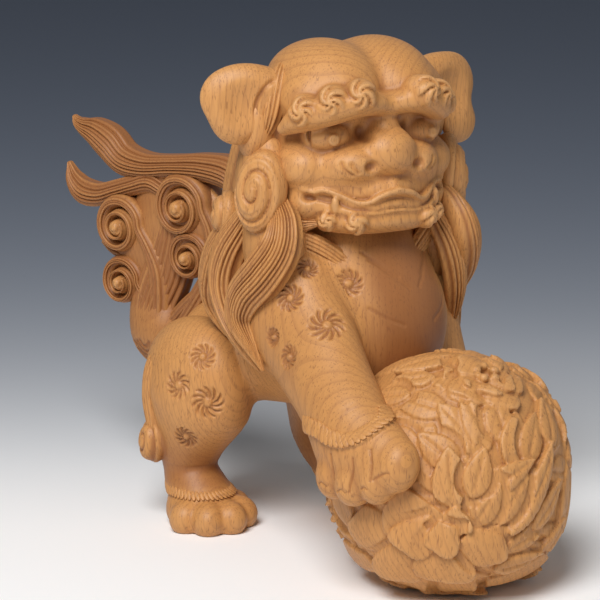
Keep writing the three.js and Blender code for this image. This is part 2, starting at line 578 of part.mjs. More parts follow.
// The ball is hollowed where the paw and the breast press on it
const pawSeat = pawCenter.clone().addScaledVector(pawOutward, -PAW_DEPTH / 2);
const pawHole = dowel('paw_dowel', pawSeat, pawOutward);
pieces.ball = cut(ballForm(), underground, trunkGrown, legsGrown, pawHole);
pieces.foreleg_right = cut(pieces.foreleg_right, pawHole);

// Scene: the body, head, tail and ball are groups, each on its own axes
const lion = new THREE.Group();
const home = (place, turn) => {
  const group = new THREE.Group();
  group.position.copy(place);
  group.rotation.z = radians(turn);
  group.updateMatrixWorld();
  lion.add(group);
  return group;
};
const body = home(at(0, 0, 0), 0);
const homes = {
  head: home(headPlace, -HEAD_TURN),
  tail: home(tailPlace, TAIL_TURN),
  ball: home(ballCenter, 0),
};
homes.ear_right = homes.head;
homes.ear_left = homes.head;
const wood = () => new THREE.MeshStandardMaterial({ color: WOOD, roughness: 0.6, metalness: 0 });

for (const [name, piece] of Object.entries(pieces)) {
  const group = homes[name] ?? body;
  const { vertProperties, triVerts } = piece.getMesh();
  const geometry = new THREE.BufferGeometry();
  geometry.setAttribute('position', new THREE.BufferAttribute(Float32Array.from(vertProperties), 3));
  geometry.setIndex(new THREE.BufferAttribute(Uint32Array.from(triVerts), 1));
  geometry.applyMatrix4(group.matrixWorld.clone().invert());
  const mesh = new THREE.Mesh(geometry, wood());
  mesh.name = name;
  group.add(mesh);
}
for (const { name, place, turn, geometry } of dowels) {
  const mesh = new THREE.Mesh(geometry, wood());
  mesh.name = name;
  mesh.position.copy(place);
  mesh.quaternion.copy(turn);
  body.add(mesh);
}

// The origin is on the floor, under the middle of the figure
const middle = new THREE.Box3().setFromObject(lion).getCenter(at(0, 0, 0));
lion.position.set(-middle.x, -middle.y, 0);

export default lion;
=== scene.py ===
"""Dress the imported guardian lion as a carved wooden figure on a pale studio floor.

Places and sizes are in millimetres on the maker's drawing: the lion looks along -Y, its left side
is +X and it stands on Z = 0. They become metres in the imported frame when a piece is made.
"""
import json
import math

import bpy
import numpy as np
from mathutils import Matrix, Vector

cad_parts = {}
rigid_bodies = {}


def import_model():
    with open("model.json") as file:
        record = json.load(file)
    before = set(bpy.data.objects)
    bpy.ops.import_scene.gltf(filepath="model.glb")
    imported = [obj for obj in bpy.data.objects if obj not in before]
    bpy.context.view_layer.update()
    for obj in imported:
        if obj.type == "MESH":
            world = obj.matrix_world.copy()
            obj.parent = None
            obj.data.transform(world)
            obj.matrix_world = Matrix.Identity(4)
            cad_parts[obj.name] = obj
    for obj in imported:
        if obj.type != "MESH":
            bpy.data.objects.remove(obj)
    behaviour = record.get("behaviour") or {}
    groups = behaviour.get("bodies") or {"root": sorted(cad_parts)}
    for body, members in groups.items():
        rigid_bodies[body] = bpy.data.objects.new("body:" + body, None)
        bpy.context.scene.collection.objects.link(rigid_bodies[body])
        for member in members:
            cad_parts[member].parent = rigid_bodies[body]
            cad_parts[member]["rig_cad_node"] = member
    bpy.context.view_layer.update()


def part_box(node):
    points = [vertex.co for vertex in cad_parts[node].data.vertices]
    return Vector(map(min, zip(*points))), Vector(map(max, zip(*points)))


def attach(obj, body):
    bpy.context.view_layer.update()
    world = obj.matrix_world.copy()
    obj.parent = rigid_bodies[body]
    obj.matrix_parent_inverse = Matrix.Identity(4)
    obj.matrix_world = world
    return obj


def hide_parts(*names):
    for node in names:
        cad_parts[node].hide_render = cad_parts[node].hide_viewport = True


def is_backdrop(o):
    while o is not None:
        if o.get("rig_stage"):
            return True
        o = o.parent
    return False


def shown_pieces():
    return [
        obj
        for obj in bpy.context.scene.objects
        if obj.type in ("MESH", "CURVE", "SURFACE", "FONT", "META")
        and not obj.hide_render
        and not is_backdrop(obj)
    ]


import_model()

import openvdb
from bpy.props import FloatProperty, FloatVectorProperty, IntProperty, PointerProperty
from mathutils import Vector

bl_info = {
    "name": "Carved Guardian Lion",
    "version": (1, 0, 0),
    "blender": (4, 2, 0),
    "location": "View3D > Sidebar > Lion",
    "description": "Carves a wooden guardian lion with its paw on a peony ball",
    "category": "Object",
}

# The drawing's zero: the front neck dowel stands at this place on the drawing
NECK_DOWEL_PLACE = (-2.0, -19.0, 110.0)
RIGHT, LEFT = -1.0, 1.0
# The distance that a grid holds where nothing is near
FAR = 9.0
# Spacing of a grid's points for each carving
TRUNK_GRID = 0.62
LEG_GRID = 0.48
BALL_GRID = 0.67
FACE_GRID = 0.66
MANE_GRID = 0.52
EAR_GRID = 0.5
TAIL_GRID = 0.7
# Spacing of rows along a stem, and the length of its round ends as a share of its half thickness
LIMB_SPACING = 1.6
END_CAP = 0.8
# How far to each side fine and broad hollows are looked for; their depth sets the painted shade
FINE_REACH = 1.3
BROAD_REACH = 4.0
# Rise of the hair's edge over the feet and the paw
FLAP_LIFT = 0.9
# Painted shade added to the depth in hollows, which sets how dark the wood is: the head's shadow on the
# breast, over the raised arm, the thighs' shadow on the shanks and over the tail; the cuffs' value is below
# nothing, which makes them a little paler
BREAST_SHADE = 0.5
ARM_SHADE = 0.12
SHANK_SHADE = 0.34
TAIL_SHADE = 0.34
CUFF_TONE = -0.1
# Painted shade for each millimetre that a rosette is cut, and factors for the painted shade in the hollows
# of the face and the ball
ROSETTE_SHADE = 0.32
FACE_SHADE = 1.35
BALL_SHADE = 0.85
# Where the block's pith runs, in metres, and how its grain leans, in radians
PITH_PLACE = (0.035, 0.075, 0.0)
GRAIN_LEAN = (0.28, -0.2, 0.0)
# The place on the drawing that the camera looks at, and the lamps' ways from there and size in metres
LOOK_AT = (-13.0, 0.0, 92.8)
KEY_WAY = (-0.86, -0.48, 1.1)
FILL_WAY = (0.9, -0.8, 0.5)
LAMP_SIZE = 0.8
# How far behind the figure the floor is halfway to its far colour, in metres
GRADE_LENGTH = 0.2


def unit(vector):
    """A vector, or each row of several, at length 1."""
    vector = np.asarray(vector, float)
    return vector / np.maximum(np.linalg.norm(vector, axis=-1, keepdims=True), 1e-9)


def drawing_shift():
    """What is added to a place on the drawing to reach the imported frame, in millimetres."""
    low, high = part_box("neck_dowel_1")
    centre = np.array((low + high) / 2) * 1000.0
    return centre - np.array(NECK_DOWEL_PLACE)


def smooth_rows(knots, spacing):
    """Knot rows, a place and then sizes, carried along a smooth path at about the spacing."""
    knots = np.asarray(knots, float)
    ends = np.vstack([2 * knots[0] - knots[1], knots, 2 * knots[-1] - knots[-2]])
    rows = []
    for a, b, c, d in zip(ends, ends[1:], ends[2:], ends[3:]):
        steps = max(2, int(math.ceil(np.linalg.norm((c - b)[:3]) / spacing)))
        for t in np.arange(steps) / steps:
            rows.append(0.5 * (2 * b + (c - a) * t + (2 * a - 5 * b + 4 * c - d) * t ** 2
                               + (3 * b - a - 3 * c + d) * t ** 3))
    rows.append(knots[-1])
    return np.array(rows)


def mirrored(rows):
    """Rows from the right side to the middle, carried on to the left side."""
    return rows + [(-row[0], *row[1:]) for row in rows[-2::-1]]


def sided(s, rows):
    """Rows drawn for the left side, or their mirror image on the right."""
    rows = np.array(rows, float)
    rows[:, 0] *= s
    return rows


def soft_step(value, low, high):
    """0 below low, 1 above high and smooth between."""
    t = np.clip((value - low) / (high - low), 0.0, 1.0)
    return t * t * (3.0 - 2.0 * t)


def soft_least(one, other, blend):
    """The lesser of two distances with their meeting rounded over the blend."""
    if blend <= 0.0:
        return np.minimum(one, other)
    h = np.maximum(blend - np.abs(one - other), 0.0) / blend
    return np.minimum(one, other) - h * h * (blend / 4.0)


def ridged(phase):
    """1 in the sharp valley between two strands and 0 on a strand's crest."""
    return 1.0 - np.abs(np.sin(np.pi * phase))


class Clay:
    """A carving held as distances to its surface on a grid."""

    def __init__(self, low, high, step):
        self.low = np.asarray(low, float)
        self.step = step
        self.count = np.ceil((np.asarray(high, float) - self.low) / step).astype(int) + 1
        self.field = np.full(self.count, FAR, np.float32)

    def window(self, low, high):
        """The part of the grid in a box and its coordinates, or None."""
        first = np.floor((np.asarray(low) - self.low) / self.step).astype(int)
        last = np.ceil((np.asarray(high) - self.low) / self.step).astype(int) + 1
        first = np.maximum(first, 0)
        last = np.minimum(last, self.count)
        if np.any(last <= first):
            return None
        spot = tuple(slice(a, b) for a, b in zip(first, last))
        axes = [(self.low[i] + self.step * np.arange(first[i], last[i])).astype(np.float32)
                for i in range(3)]
        return spot, np.meshgrid(*axes, indexing="ij", sparse=True)

    def press(self, shape, blend):
        """Add a shape, with a fillet of about the blend."""
        found = shape.cast(self, blend)
        if found is not None:
            spot, other = found
            self.field[spot] = soft_least(self.field[spot], other, blend)

    def lay(self, petal):
        """Lay a petal over what is there: its neighbours dip under its edge."""
        found = petal.cast(self)
        if found is not None:
            spot, other, under = found
            self.field[spot] = np.minimum(np.maximum(self.field[spot], under), other)

    def carve(self, shape, blend):
        """Cut a shape away."""
        found = shape.cast(self, blend)
        if found is not None:
            spot, other = found
            self.field[spot] = -soft_least(-self.field[spot], other, blend)

    def keep_above(self, height):
        """Cut the carving flat at a height."""
        z = self.low[2] + self.step * np.arange(self.count[2])
        np.maximum(self.field, (height - z).astype(np.float32)[None, None, :], out=self.field)

    def mean(self, reach):
        """The field averaged over a box of about the reach to each side."""
        size = max(1, int(round(reach / self.step)))
        out = np.clip(self.field, -1.5 * reach, 1.5 * reach)
        for axis in range(3):
            pads = [(0, 0)] * 3
            pads[axis] = (size + 1, size)
            sums = np.cumsum(np.pad(out, pads, mode="edge"), axis=axis, dtype=np.float32)
            upper = np.take(sums, np.arange(2 * size + 1, sums.shape[axis]), axis=axis)
            lower = np.take(sums, np.arange(0, sums.shape[axis] - 2 * size - 1), axis=axis)
            out = (upper - lower) / (2 * size + 1)
        return out

    def read(self, values, points):
        """Values of a grid like this one at points."""
        spot = (points - self.low) / self.step
        base = np.clip(np.floor(spot).astype(int), 0, self.count - 2)
        part = np.clip(spot - base, 0.0, 1.0)
        total = np.zeros(len(points))
        for corner in np.ndindex(2, 2, 2):
            share = np.prod(np.where(np.array(corner) == 1, part, 1.0 - part), axis=1)
            cell = base + np.array(corner)
            total += share * values[cell[:, 0], cell[:, 1], cell[:, 2]]
        return total

    def skin(self):
        """The surface as points, four-sided faces and how deep each point lies in a hollow, for its painted
        shade and rubbed ridges.
        """
        grid = openvdb.FloatGrid()
        grid.background = FAR
        grid.copyFromArray(self.field)
        points, faces = grid.convertToQuads(isovalue=0.0)
        points = self.low + self.step * np.asarray(points, float)
        faces = np.asarray(faces, np.int64)
        # Cavity measured at two reaches: deep spots get painted shade, ridges are rubbed pale
        fine = self.read(self.mean(FINE_REACH), points) / FINE_REACH
        broad = self.read(self.mean(BROAD_REACH), points) / BROAD_REACH
        return Surface(points, faces, -(0.6 * fine + 0.7 * broad))


class Surface:
    """A skin: points, faces of four and the depth in hollows that sets its painted shade."""

    def __init__(self, points, faces, shade_and_wear):
        self.points = points
        self.faces = faces
        self.shade_and_wear = shade_and_wear
        self.face_out()

    def face_out(self):
        """Turn the faces outwards."""
        corner = self.points[self.faces]
        volume = np.einsum("ij,ij->i", corner[:, 0], np.cross(corner[:, 1], corner[:, 2])).sum()
        volume += np.einsum("ij,ij->i", corner[:, 0], np.cross(corner[:, 2], corner[:, 3])).sum()
        if volume < 0:
            self.faces = self.faces[:, ::-1].copy()

    def normals(self):
        """Outward direction at each point."""
        corner = self.points[self.faces]
        across = np.cross(corner[:, 2] - corner[:, 0], corner[:, 3] - corner[:, 1])
        total = np.zeros_like(self.points)
        for i in range(4):
            for axis in range(3):
                total[:, axis] += np.bincount(self.faces[:, i], across[:, axis], len(total))
        return unit(total)

    def cut(self, depth, tone=0.45):
        """Sink each point by a depth along its normal, and paint shade into it with the depth."""
        self.points -= self.normals() * depth[:, None]
        self.shade_and_wear = self.shade_and_wear + tone * depth

    def laid(self, path, spacing):
        """A path carried along smoothly, laid onto the skin, and the numbers of the points near it."""
        rows = smooth_rows(path, spacing)
        low, high = rows.min(0) - 6.0, rows.max(0) + 6.0
        close = np.all((self.points > low) & (self.points < high), axis=1).nonzero()[0]
        near = self.points[close]
        rows = near[[np.argmin(((near - row) ** 2).sum(1)) for row in rows]]
        for _ in range(4):
            rows[1:-1] = (rows[:-2] + 2 * rows[1:-1] + rows[2:]) / 4
        return rows, close

    def turned(self, axes, origin):
        """The skin with its own axes, as rows, placed at an origin on the drawing."""
        self.points = self.points @ np.asarray(axes, float) + np.asarray(origin, float)
        self.face_out()
        return self


class Egg:
    """A rounded lump with three radii, on its own axes or the drawing's."""

    def __init__(self, place, radii, axes=None):
        self.place = np.asarray(place, float)
        self.radii = np.asarray(radii, float)
        self.axes = np.eye(3) if axes is None else unit(axes)

    def reach(self):
        """How far the lump goes to each side along the drawing's axes."""
        return np.sqrt(((self.axes * self.radii[:, None]) ** 2).sum(0))

    def local(self, x, y, z):
        """Coordinates on the lump's own axes."""
        x, y, z = (v - np.float32(p) for v, p in zip((x, y, z), self.place))
        return [x * np.float32(a[0]) + y * np.float32(a[1]) + z * np.float32(a[2]) for a in self.axes]

    def depth(self, local):
        """Distance to the surface at places on the lump's own axes."""
        p, q, r = (v / np.float32(size) for v, size in zip(local, self.radii))
        k0 = np.sqrt(p * p + q * q + r * r)
        k1 = np.sqrt((p / self.radii[0]) ** 2 + (q / self.radii[1]) ** 2 + (r / self.radii[2]) ** 2)
        return (k0 * (k0 - 1.0) / np.maximum(k1, 1e-6)).astype(np.float32)

    def cast(self, clay, blend):
        """The part of the grid round the lump and the distances there."""
        margin = self.reach() + blend + 2 * clay.step
        found = clay.window(self.place - margin, self.place + margin)
        if found is None:
            return None
        spot, grid = found
        return spot, self.depth(self.local(*grid))


class Swirl(Egg):
    """A carved curl: a dome with a spiral wound into its face."""

    def __init__(self, place, face, up, radii, turns, hand, cut, lines=1, arms=1):
        face = unit(face)
        side = unit(np.cross(up, face))
        super().__init__(place, radii, [side, np.cross(face, side), face])
        self.turns = turns
        self.hand = hand
        self.cut = cut
        self.lines = lines
        self.arms = arms

    def depth(self, local):
        """The dome's distance with the spiral cut in."""
        base = super().depth(local)
        p, q = local[0] / self.radii[0], local[1] / self.radii[1]
        rho = np.sqrt(p * p + q * q)
        phase = self.turns * rho ** 0.85 - self.hand * self.arms * np.arctan2(q, p) / (2 * np.pi)
        groove = ridged(phase) ** 1.5
        if self.lines > 1:
            groove = groove + 0.3 * ridged(phase * self.lines)
        shown = soft_step(local[2] / self.radii[2], -0.35, 0.15)
        core = soft_step(rho, 0.06, 0.2) * (1.0 - soft_step(rho, 0.98, 1.2))
        return (base + self.cut * groove * shown * core).astype(np.float32)


class Limb:
    """A tapering stem along a path, oval in section."""

    def __init__(self, knots, out, spacing=LIMB_SPACING):
        knots = np.asarray(knots, float)
        out = np.broadcast_to(np.asarray(out, float), (len(knots), 3))
        rows = smooth_rows(np.column_stack([knots, out]), spacing)
        self.place = rows[:, :3]
        self.wide = np.maximum(rows[:, 3], 0.4)
        self.deep = np.maximum(rows[:, 4], 0.4)
        self.along = unit(np.gradient(self.place, axis=0))
        face = rows[:, 5:8]
        self.face = unit(face - self.along * np.sum(face * self.along, axis=1, keepdims=True))
        self.side = np.cross(self.along, self.face)

    def cast(self, clay, blend):
        """The part of the grid round the stem and the distances there."""
        size = np.maximum(self.wide, self.deep)[:, None]
        margin = blend + 2 * clay.step
        most = size.max() + margin + clay.step
        found = clay.window(self.place.min(0) - most, self.place.max(0) + most)
        if found is None:
            return None
        spot, _ = found
        total = np.full([s.stop - s.start for s in spot], FAR, np.float32)
        start = np.array([s.start for s in spot])
        for i in range(len(self.place) - 1):
            pair = self.place[i:i + 2]
            grow = size[i:i + 2].max() + margin
            piece = clay.window(pair.min(0) - grow, pair.max(0) + grow)
            if piece is None:
                continue
            inner, grid = piece
            here = tuple(slice(s.start - a, s.stop - a) for s, a in zip(inner, start))
            total[here] = np.minimum(total[here], self.stretch(i, *grid))
        return spot, total

    def stretch(self, i, x, y, z):
        """Distance to one stretch of the stem."""
        a, b = self.place[i], self.place[i + 1]
        length = np.linalg.norm(b - a)
        e = ((b - a) / length).astype(np.float32)
        x, y, z = (v - np.float32(p) for v, p in zip((x, y, z), a))
        run = x * e[0] + y * e[1] + z * e[2]
        t = np.clip(run / np.float32(length), 0.0, 1.0)
        over = run - t * np.float32(length)
        px, py, pz = (x - run * e[0], y - run * e[1], z - run * e[2])

        def across(rows):
            one, two = rows[i].astype(np.float32), (rows[i + 1] - rows[i]).astype(np.float32)
            return (px * one[0] + py * one[1] + pz * one[2]
                    + t * (px * two[0] + py * two[1] + pz * two[2]))

        u, v = across(self.side), across(self.face)
        wide = np.float32(self.wide[i]) + t * np.float32(self.wide[i + 1] - self.wide[i])
        deep = np.float32(self.deep[i]) + t * np.float32(self.deep[i + 1] - self.deep[i])
        end = END_CAP * np.minimum(wide, deep)
        p, q, r = u / wide, v / deep, over / end
        k0 = np.sqrt(p * p + q * q + r * r)
        k1 = np.sqrt((p / wide) ** 2 + (q / deep) ** 2 + (r / end) ** 2)
        return (k0 * (k0 - 1.0) / np.maximum(k1, 1e-6)).astype(np.float32)


class Lock(Limb):
    """A lock of hair, a skin of its own: strands run along its face, and along its back too if wanted."""

    MARKS = np.array((0.0, 0.09, 0.25, 0.5, 0.75, 0.91))
    CAP_TURNS = np.radians((82.0, 55.0, 25.0))

    def __init__(self, knots, out, strands, cut, seed, back=False, spacing=1.2):
        super().__init__(knots, out, spacing)
        self.strands = strands
        self.cut = cut
        self.back = back
        rng = np.random.default_rng(seed)
        self.share = 0.6 + 0.7 * rng.random(strands + 1)
        self.sunk = 0.45 * rng.random(strands)
        self.sway = rng.random()

    def rows(self):
        """Place, half width, half depth, side and face of each row, with the rounded ends added."""
        first = np.r_[np.zeros(3, int), np.arange(len(self.place)), np.full(3, len(self.place) - 1)]
        bulge = np.r_[-self.CAP_TURNS, np.zeros(len(self.place)), self.CAP_TURNS[::-1]]
        least = np.minimum(self.wide, self.deep)[first]
        place = self.place[first] + self.along[first] * (END_CAP * least * np.sin(bulge))[:, None]
        slim = np.cos(bulge)
        return place, self.wide[first] * slim, self.deep[first] * slim, self.side[first], self.face[first]

    def skin(self):
        """The lock as a closed skin with a row of points in every valley."""
        place, wide, deep, side, face = self.rows()
        row = np.append((np.arange(self.strands)[:, None] + self.MARKS).ravel(), self.strands)
        valley = ridged(row)
        near = np.minimum(np.floor(row + 0.5).astype(int), self.strands)
        strand = np.minimum(row.astype(int), self.strands - 1)
        depth = self.cut * (self.share[near] * valley + self.sunk[strand] * (1.0 - valley))
        q = 2.0 * row / self.strands - 1.0
        t = np.linspace(0.0, 1.0, len(place))[:, None]
        p = 0.985 * q + 0.07 * np.sin(6.3 * self.sway + 9.0 * t) * (1.0 - q * q)
        fade = np.minimum(1.0, 1.5 * wide / wide.max())[:, None]
        rise = np.sqrt(1.0 - p * p)
        lean = unit(np.stack([p / wide[:, None], rise / deep[:, None]], axis=-1))
        halves, hollows = [], []
        for way, share in ((1.0, 1.0), (-1.0, 1.0 if self.back else 0.0)):
            sink = share * depth * fade
            across = wide[:, None] * p - lean[:, :, 0] * sink
            out = way * (deep[:, None] * rise - lean[:, :, 1] * sink)
            halves.append(place[:, None] + side[:, None] * across[..., None]
                          + face[:, None] * out[..., None])
            # Painted shade in the valleys between strands; the crests are a little paler
            hollows.append(0.5 * sink - 0.15)
        points = np.concatenate([halves[0], halves[1][:, ::-1]], axis=1)
        shade_and_wear = np.concatenate([hollows[0], hollows[1][:, ::-1]], axis=1)
        count, ring = points.shape[:2]
        index = np.arange(count * ring).reshape(count, ring)
        after = np.roll(index, -1, axis=1)
        faces = [np.stack([index[:-1], after[:-1], after[1:], index[1:]], axis=-1).reshape(-1, 4)]
        half = len(q)
        for end, flip in ((index[0], 1), (index[-1], -1)):
            one, two = end[:half], end[half:][::-1]
            faces.append(np.stack([one[:-1], two[:-1], two[1:], one[1:]], axis=-1)[:, ::flip])
        return Surface(points.reshape(-1, 3), np.vstack(faces), shade_and_wear.ravel())


def merged(skins):
    """Several skins as one."""
    starts = np.cumsum([0] + [len(skin.points) for skin in skins])
    points = np.vstack([skin.points for skin in skins])
    faces = np.vstack([skin.faces + start for skin, start in zip(skins, starts)])
    return Surface(points, faces, np.concatenate([skin.shade_and_wear for skin in skins]))


class Petal:
    """A leaf or petal laid on the ball: outline along its length, crown across it, veins and a tip."""

    def __init__(self, pole, along, length, width, rise, kind, tilt=0.0, wave=0.0):
        self.pole = unit(pole)
        along = np.asarray(along, float)
        self.along = unit(along - self.pole * np.dot(along, self.pole))
        self.side = np.cross(self.pole, self.along)
        self.length, self.width = length, width
        self.rise, self.tilt = rise, tilt
        self.kind, self.wave = kind, wave

    def cast(self, clay):
        """The part of the grid round it, the distances there and how far its neighbours dip under it."""
        centre = BALL_PLACE + unit(self.pole * BALL_CORE + self.along * self.length * 0.5) * BALL_CORE
        reach = np.full(3, 0.62 * max(self.length, 2 * self.width) + 3.0)
        found = clay.window(centre - reach, centre + reach)
        if found is None:
            return None
        spot, grid = found
        x, y, z = (v - np.float32(p) for v, p in zip(grid, BALL_PLACE))
        r = np.sqrt(x * x + y * y + z * z)
        up, ahead, aside = (x * np.float32(a[0]) + y * np.float32(a[1]) + z * np.float32(a[2])
                            for a in (self.pole, self.along, self.side))
        angle = np.arccos(np.clip(up / np.maximum(r, 1e-3), -1.0, 1.0))
        flat = np.maximum(np.sqrt(ahead ** 2 + aside ** 2), 1e-4)
        u = BALL_CORE * angle * ahead / flat
        v = BALL_CORE * angle * aside / flat
        s = u / self.length
        fan = np.arctan2(v, u + 0.4 * self.length)
        if self.kind == "petal":
            waves = 0.04 * np.cos(11.0 * fan + 2.0 * self.wave)
            s = s / (1.0 + 0.07 * np.cos(6.0 * fan + self.wave) + waves)
        inside = np.clip(s, 0.0, 1.0)
        if self.kind == "leaf":
            edge = self.width * np.maximum(np.sin(np.pi * inside ** 0.75), 0.0) ** 0.8
        else:
            edge = self.width * (0.5 + 0.7 * inside) * np.sqrt(np.maximum(1.0 - inside ** 5, 0.0))
        out = np.maximum(np.abs(v) - edge, self.length * np.maximum(-s, s - 1.0))
        share = np.clip(np.abs(v) / np.maximum(edge, 0.5), 0.0, 1.2)
        top = self.rise + self.tilt * s
        if self.kind == "leaf":
            rib = 0.7 * np.exp(-(v / 0.7) ** 2) * soft_step(s, 0.05, 0.2) * (1.0 - soft_step(s, 0.8, 1.0))
            top = top + 0.4 * (1.0 - share ** 2) - rib
            top = top - 0.16 * ridged((u - 1.6 * np.abs(v)) / 4.2) ** 3 * soft_step(share, 0.15, 0.4)
        else:
            top = top + 0.6 * (1.0 - share ** 2) + 0.25 * np.cos(7.0 * fan + self.wave)
        field = np.maximum(0.8 * out, r - BALL_CORE - top)
        dip = np.where(out < 0.0, -0.4, -0.95) + 0.22 * np.maximum(out, 0.0)
        dip = dip + 9.0 * np.maximum(out - 3.0, 0.0)
        under = r - BALL_CORE - np.maximum(self.rise + self.tilt * inside + dip, -1.4)
        under = np.where(up > 0.3 * r, under, -FAR)
        return spot, field.astype(np.float32), under.astype(np.float32)


def pinwheel(surface, place, radius, strokes, depth, spin, lead):
    """Depth of a ring of curved gouge strokes round a small centre, snapped to the surface."""
    points, normals = surface.points, surface.normals()
    centre_at = np.argmin(((points - place) ** 2).sum(1))
    centre = points[centre_at]
    near = ((points - centre) ** 2).sum(1) < (0.7 * radius) ** 2
    face = unit(normals[near].mean(0))
    side = unit(np.cross((0.0, 0.0, 1.0), face))
    up = np.cross(face, side)
    close = ((points - centre) ** 2).sum(1) < (1.25 * radius) ** 2
    close &= normals @ face > 0.2
    rel = points[close] - centre
    p, q = rel @ side, rel @ up
    rho = np.hypot(p, q) / radius
    turn = np.arctan2(q, p) / (2 * np.pi) + spin * 0.16 * rho + lead
    part = (turn * strokes) % 1.0
    span = 2 * np.pi * np.maximum(rho, 0.1) * radius / strokes
    steep = np.clip(1.0 - part * span / 0.55, 0.0, 1.0)
    slope = np.clip(1.0 - (1.0 - part) * span / 1.5, 0.0, 1.0)
    shape = np.maximum(steep, slope) * soft_step(rho, 0.16, 0.34) * (1.0 - soft_step(rho, 0.82, 1.02))
    total = np.zeros(len(points))
    total[close] = depth * shape
    return total


def beside(points, rows, way):
    """Distance of points from a path, and how far each lies on the side that a way points to."""
    gap = np.full(len(points), 99.0)
    ahead = np.zeros(len(points))
    for a, b in zip(rows, rows[1:]):
        run = b - a
        square = np.dot(run, run) + 1e-9
        rel = points - a
        rel = rel - np.clip(rel @ run / square, 0.0, 1.0)[:, None] * run
        far = np.linalg.norm(rel, axis=1)
        nearer = far < gap
        gap[nearer] = far[nearer]
        ahead[nearer] = rel[nearer] @ unit(way - run * np.dot(way, run) / square)
    return gap, ahead


def strokes_depth(surface, paths, width, depth):
    """Depth of V cuts along paths, each laid onto the surface first."""
    total = np.zeros(len(surface.points))
    for path in paths:
        rows, close = surface.laid(path, 0.8)
        gap, _ = beside(surface.points[close], rows, np.ones(3))
        total[close] = np.maximum(total[close], depth * np.clip(1.0 - gap / width, 0.0, 1.0))
    return total


def flap_depth(surface, path, way, lift):
    """How far a flap of hair sinks, less than nothing, from the step at a path, fading out along a way."""
    total = np.zeros(len(surface.points))
    rows, close = surface.laid(path, 0.8)
    gap, ahead = beside(surface.points[close], rows, np.asarray(way, float))
    total[close] = -lift * soft_step(ahead, -0.25, 0.25) * (1.0 - soft_step(gap, 1.5, 6.0))
    return total


# Materials


def new_group(name, kind, inputs, outputs):
    """A node group with named sockets, and its input and output nodes."""
    group = bpy.data.node_groups.new(name, kind)
    for way, sockets in (("INPUT", inputs), ("OUTPUT", outputs)):
        for label, sort, value in sockets:
            socket = group.interface.new_socket(name=label, in_out=way, socket_type="NodeSocket" + sort)
            if value is not None:
                socket.default_value = value
    return group, node(group, "NodeGroupInput", (-900, 0)), node(group, "NodeGroupOutput", (900, 0))


def node(tree, kind, place, inputs=None, **settings):
    """A node at a place in the tree, with its settings, and values or links for its inputs."""
    made = tree.nodes.new(kind)
    made.location = place
    for key, value in settings.items():
        setattr(made, key, value)
    for key, value in (inputs or {}).items():
        if isinstance(value, bpy.types.NodeSocket):
            tree.links.new(value, made.inputs[key])
        else:
            made.inputs[key].default_value = value
    return made


def smooth_edge(tree, place, value, low, high):
    """A mask that rises smoothly from 0 to 1 between two levels of a value."""
    levels = {"Value": value, "From Min": low, "From Max": high}
    made = node(tree, "ShaderNodeMapRange", place, levels, interpolation_type="SMOOTHSTEP")
    return made.outputs["Result"]


def rgba(colour):
    """A colour setting as a socket takes it."""
    return tuple(colour) + (1.0,)


def growth_ring_group():
    """Shader group: late wood, pores, mottle and fibre of one solid block, from a place in metres."""
    group, start, end = new_group(
        "growth_rings", "ShaderNodeTree",
        [("Place", "Vector", None), ("Ring Scale", "Float", 150.0), ("Pore Scale", "Float", 1500.0)],
        [(label, "Float", None) for label in ("Late Wood", "Pores", "Mottle", "Fibre")])
    place = start.outputs["Place"]
    lean = node(group, "ShaderNodeMapping", (-700, 150),
                {"Vector": place, "Location": PITH_PLACE, "Rotation": GRAIN_LEAN})
    grain = node(group, "ShaderNodeMapping", (-700, -200),
                 {"Vector": place, "Rotation": GRAIN_LEAN, "Scale": (1.0, 1.0, 0.14)}).outputs["Vector"]
    rings = node(group, "ShaderNodeTexWave", (-450, 200),
                 {"Vector": lean.outputs["Vector"], "Scale": start.outputs["Ring Scale"], "Distortion": 6.0,
                  "Detail": 2.0, "Detail Scale": 0.1},
                 wave_type="RINGS", rings_direction="Z", wave_profile="SAW")

    def noise(height, scale, detail):
        return node(group, "ShaderNodeTexNoise", (-450, height),
                    {"Vector": grain, "Scale": scale, "Detail": detail}).outputs["Fac"]

    pores = noise(-200, start.outputs["Pore Scale"], 1.0)
    masks = {
        "Late Wood": smooth_edge(group, (-200, 200), rings.outputs["Fac"], 0.6, 0.98),
        "Pores": smooth_edge(group, (-200, -200), pores, 0.585, 0.7),
        "Mottle": noise(-500, 60.0, 3.0),
        "Fibre": smooth_edge(group, (-200, -750), noise(-750, 750.0, 2.0), 0.46, 0.72),
    }
    for name, mask in masks.items():
        group.links.new(mask, end.inputs[name])
    return group


def shade_and_wear_group():
    """Shader group: how far painted shade, with the oil gathered in the cuts, darkens the hollows and how
    far ridges are rubbed pale.
    """
    group, start, end = new_group("shade_and_wear_tone", "ShaderNodeTree", [("Shade And Wear", "Float", None)],
                                  [("Painted Shade", "Float", None), ("Ridge", "Float", None)])
    for name, low, high, height in (("Painted Shade", 0.0, 0.5, 120), ("Ridge", -0.05, -0.5, -120)):
        mask = smooth_edge(group, (-150, height), start.outputs["Shade And Wear"], low, high)
        group.links.new(mask, end.inputs[name])
    return group


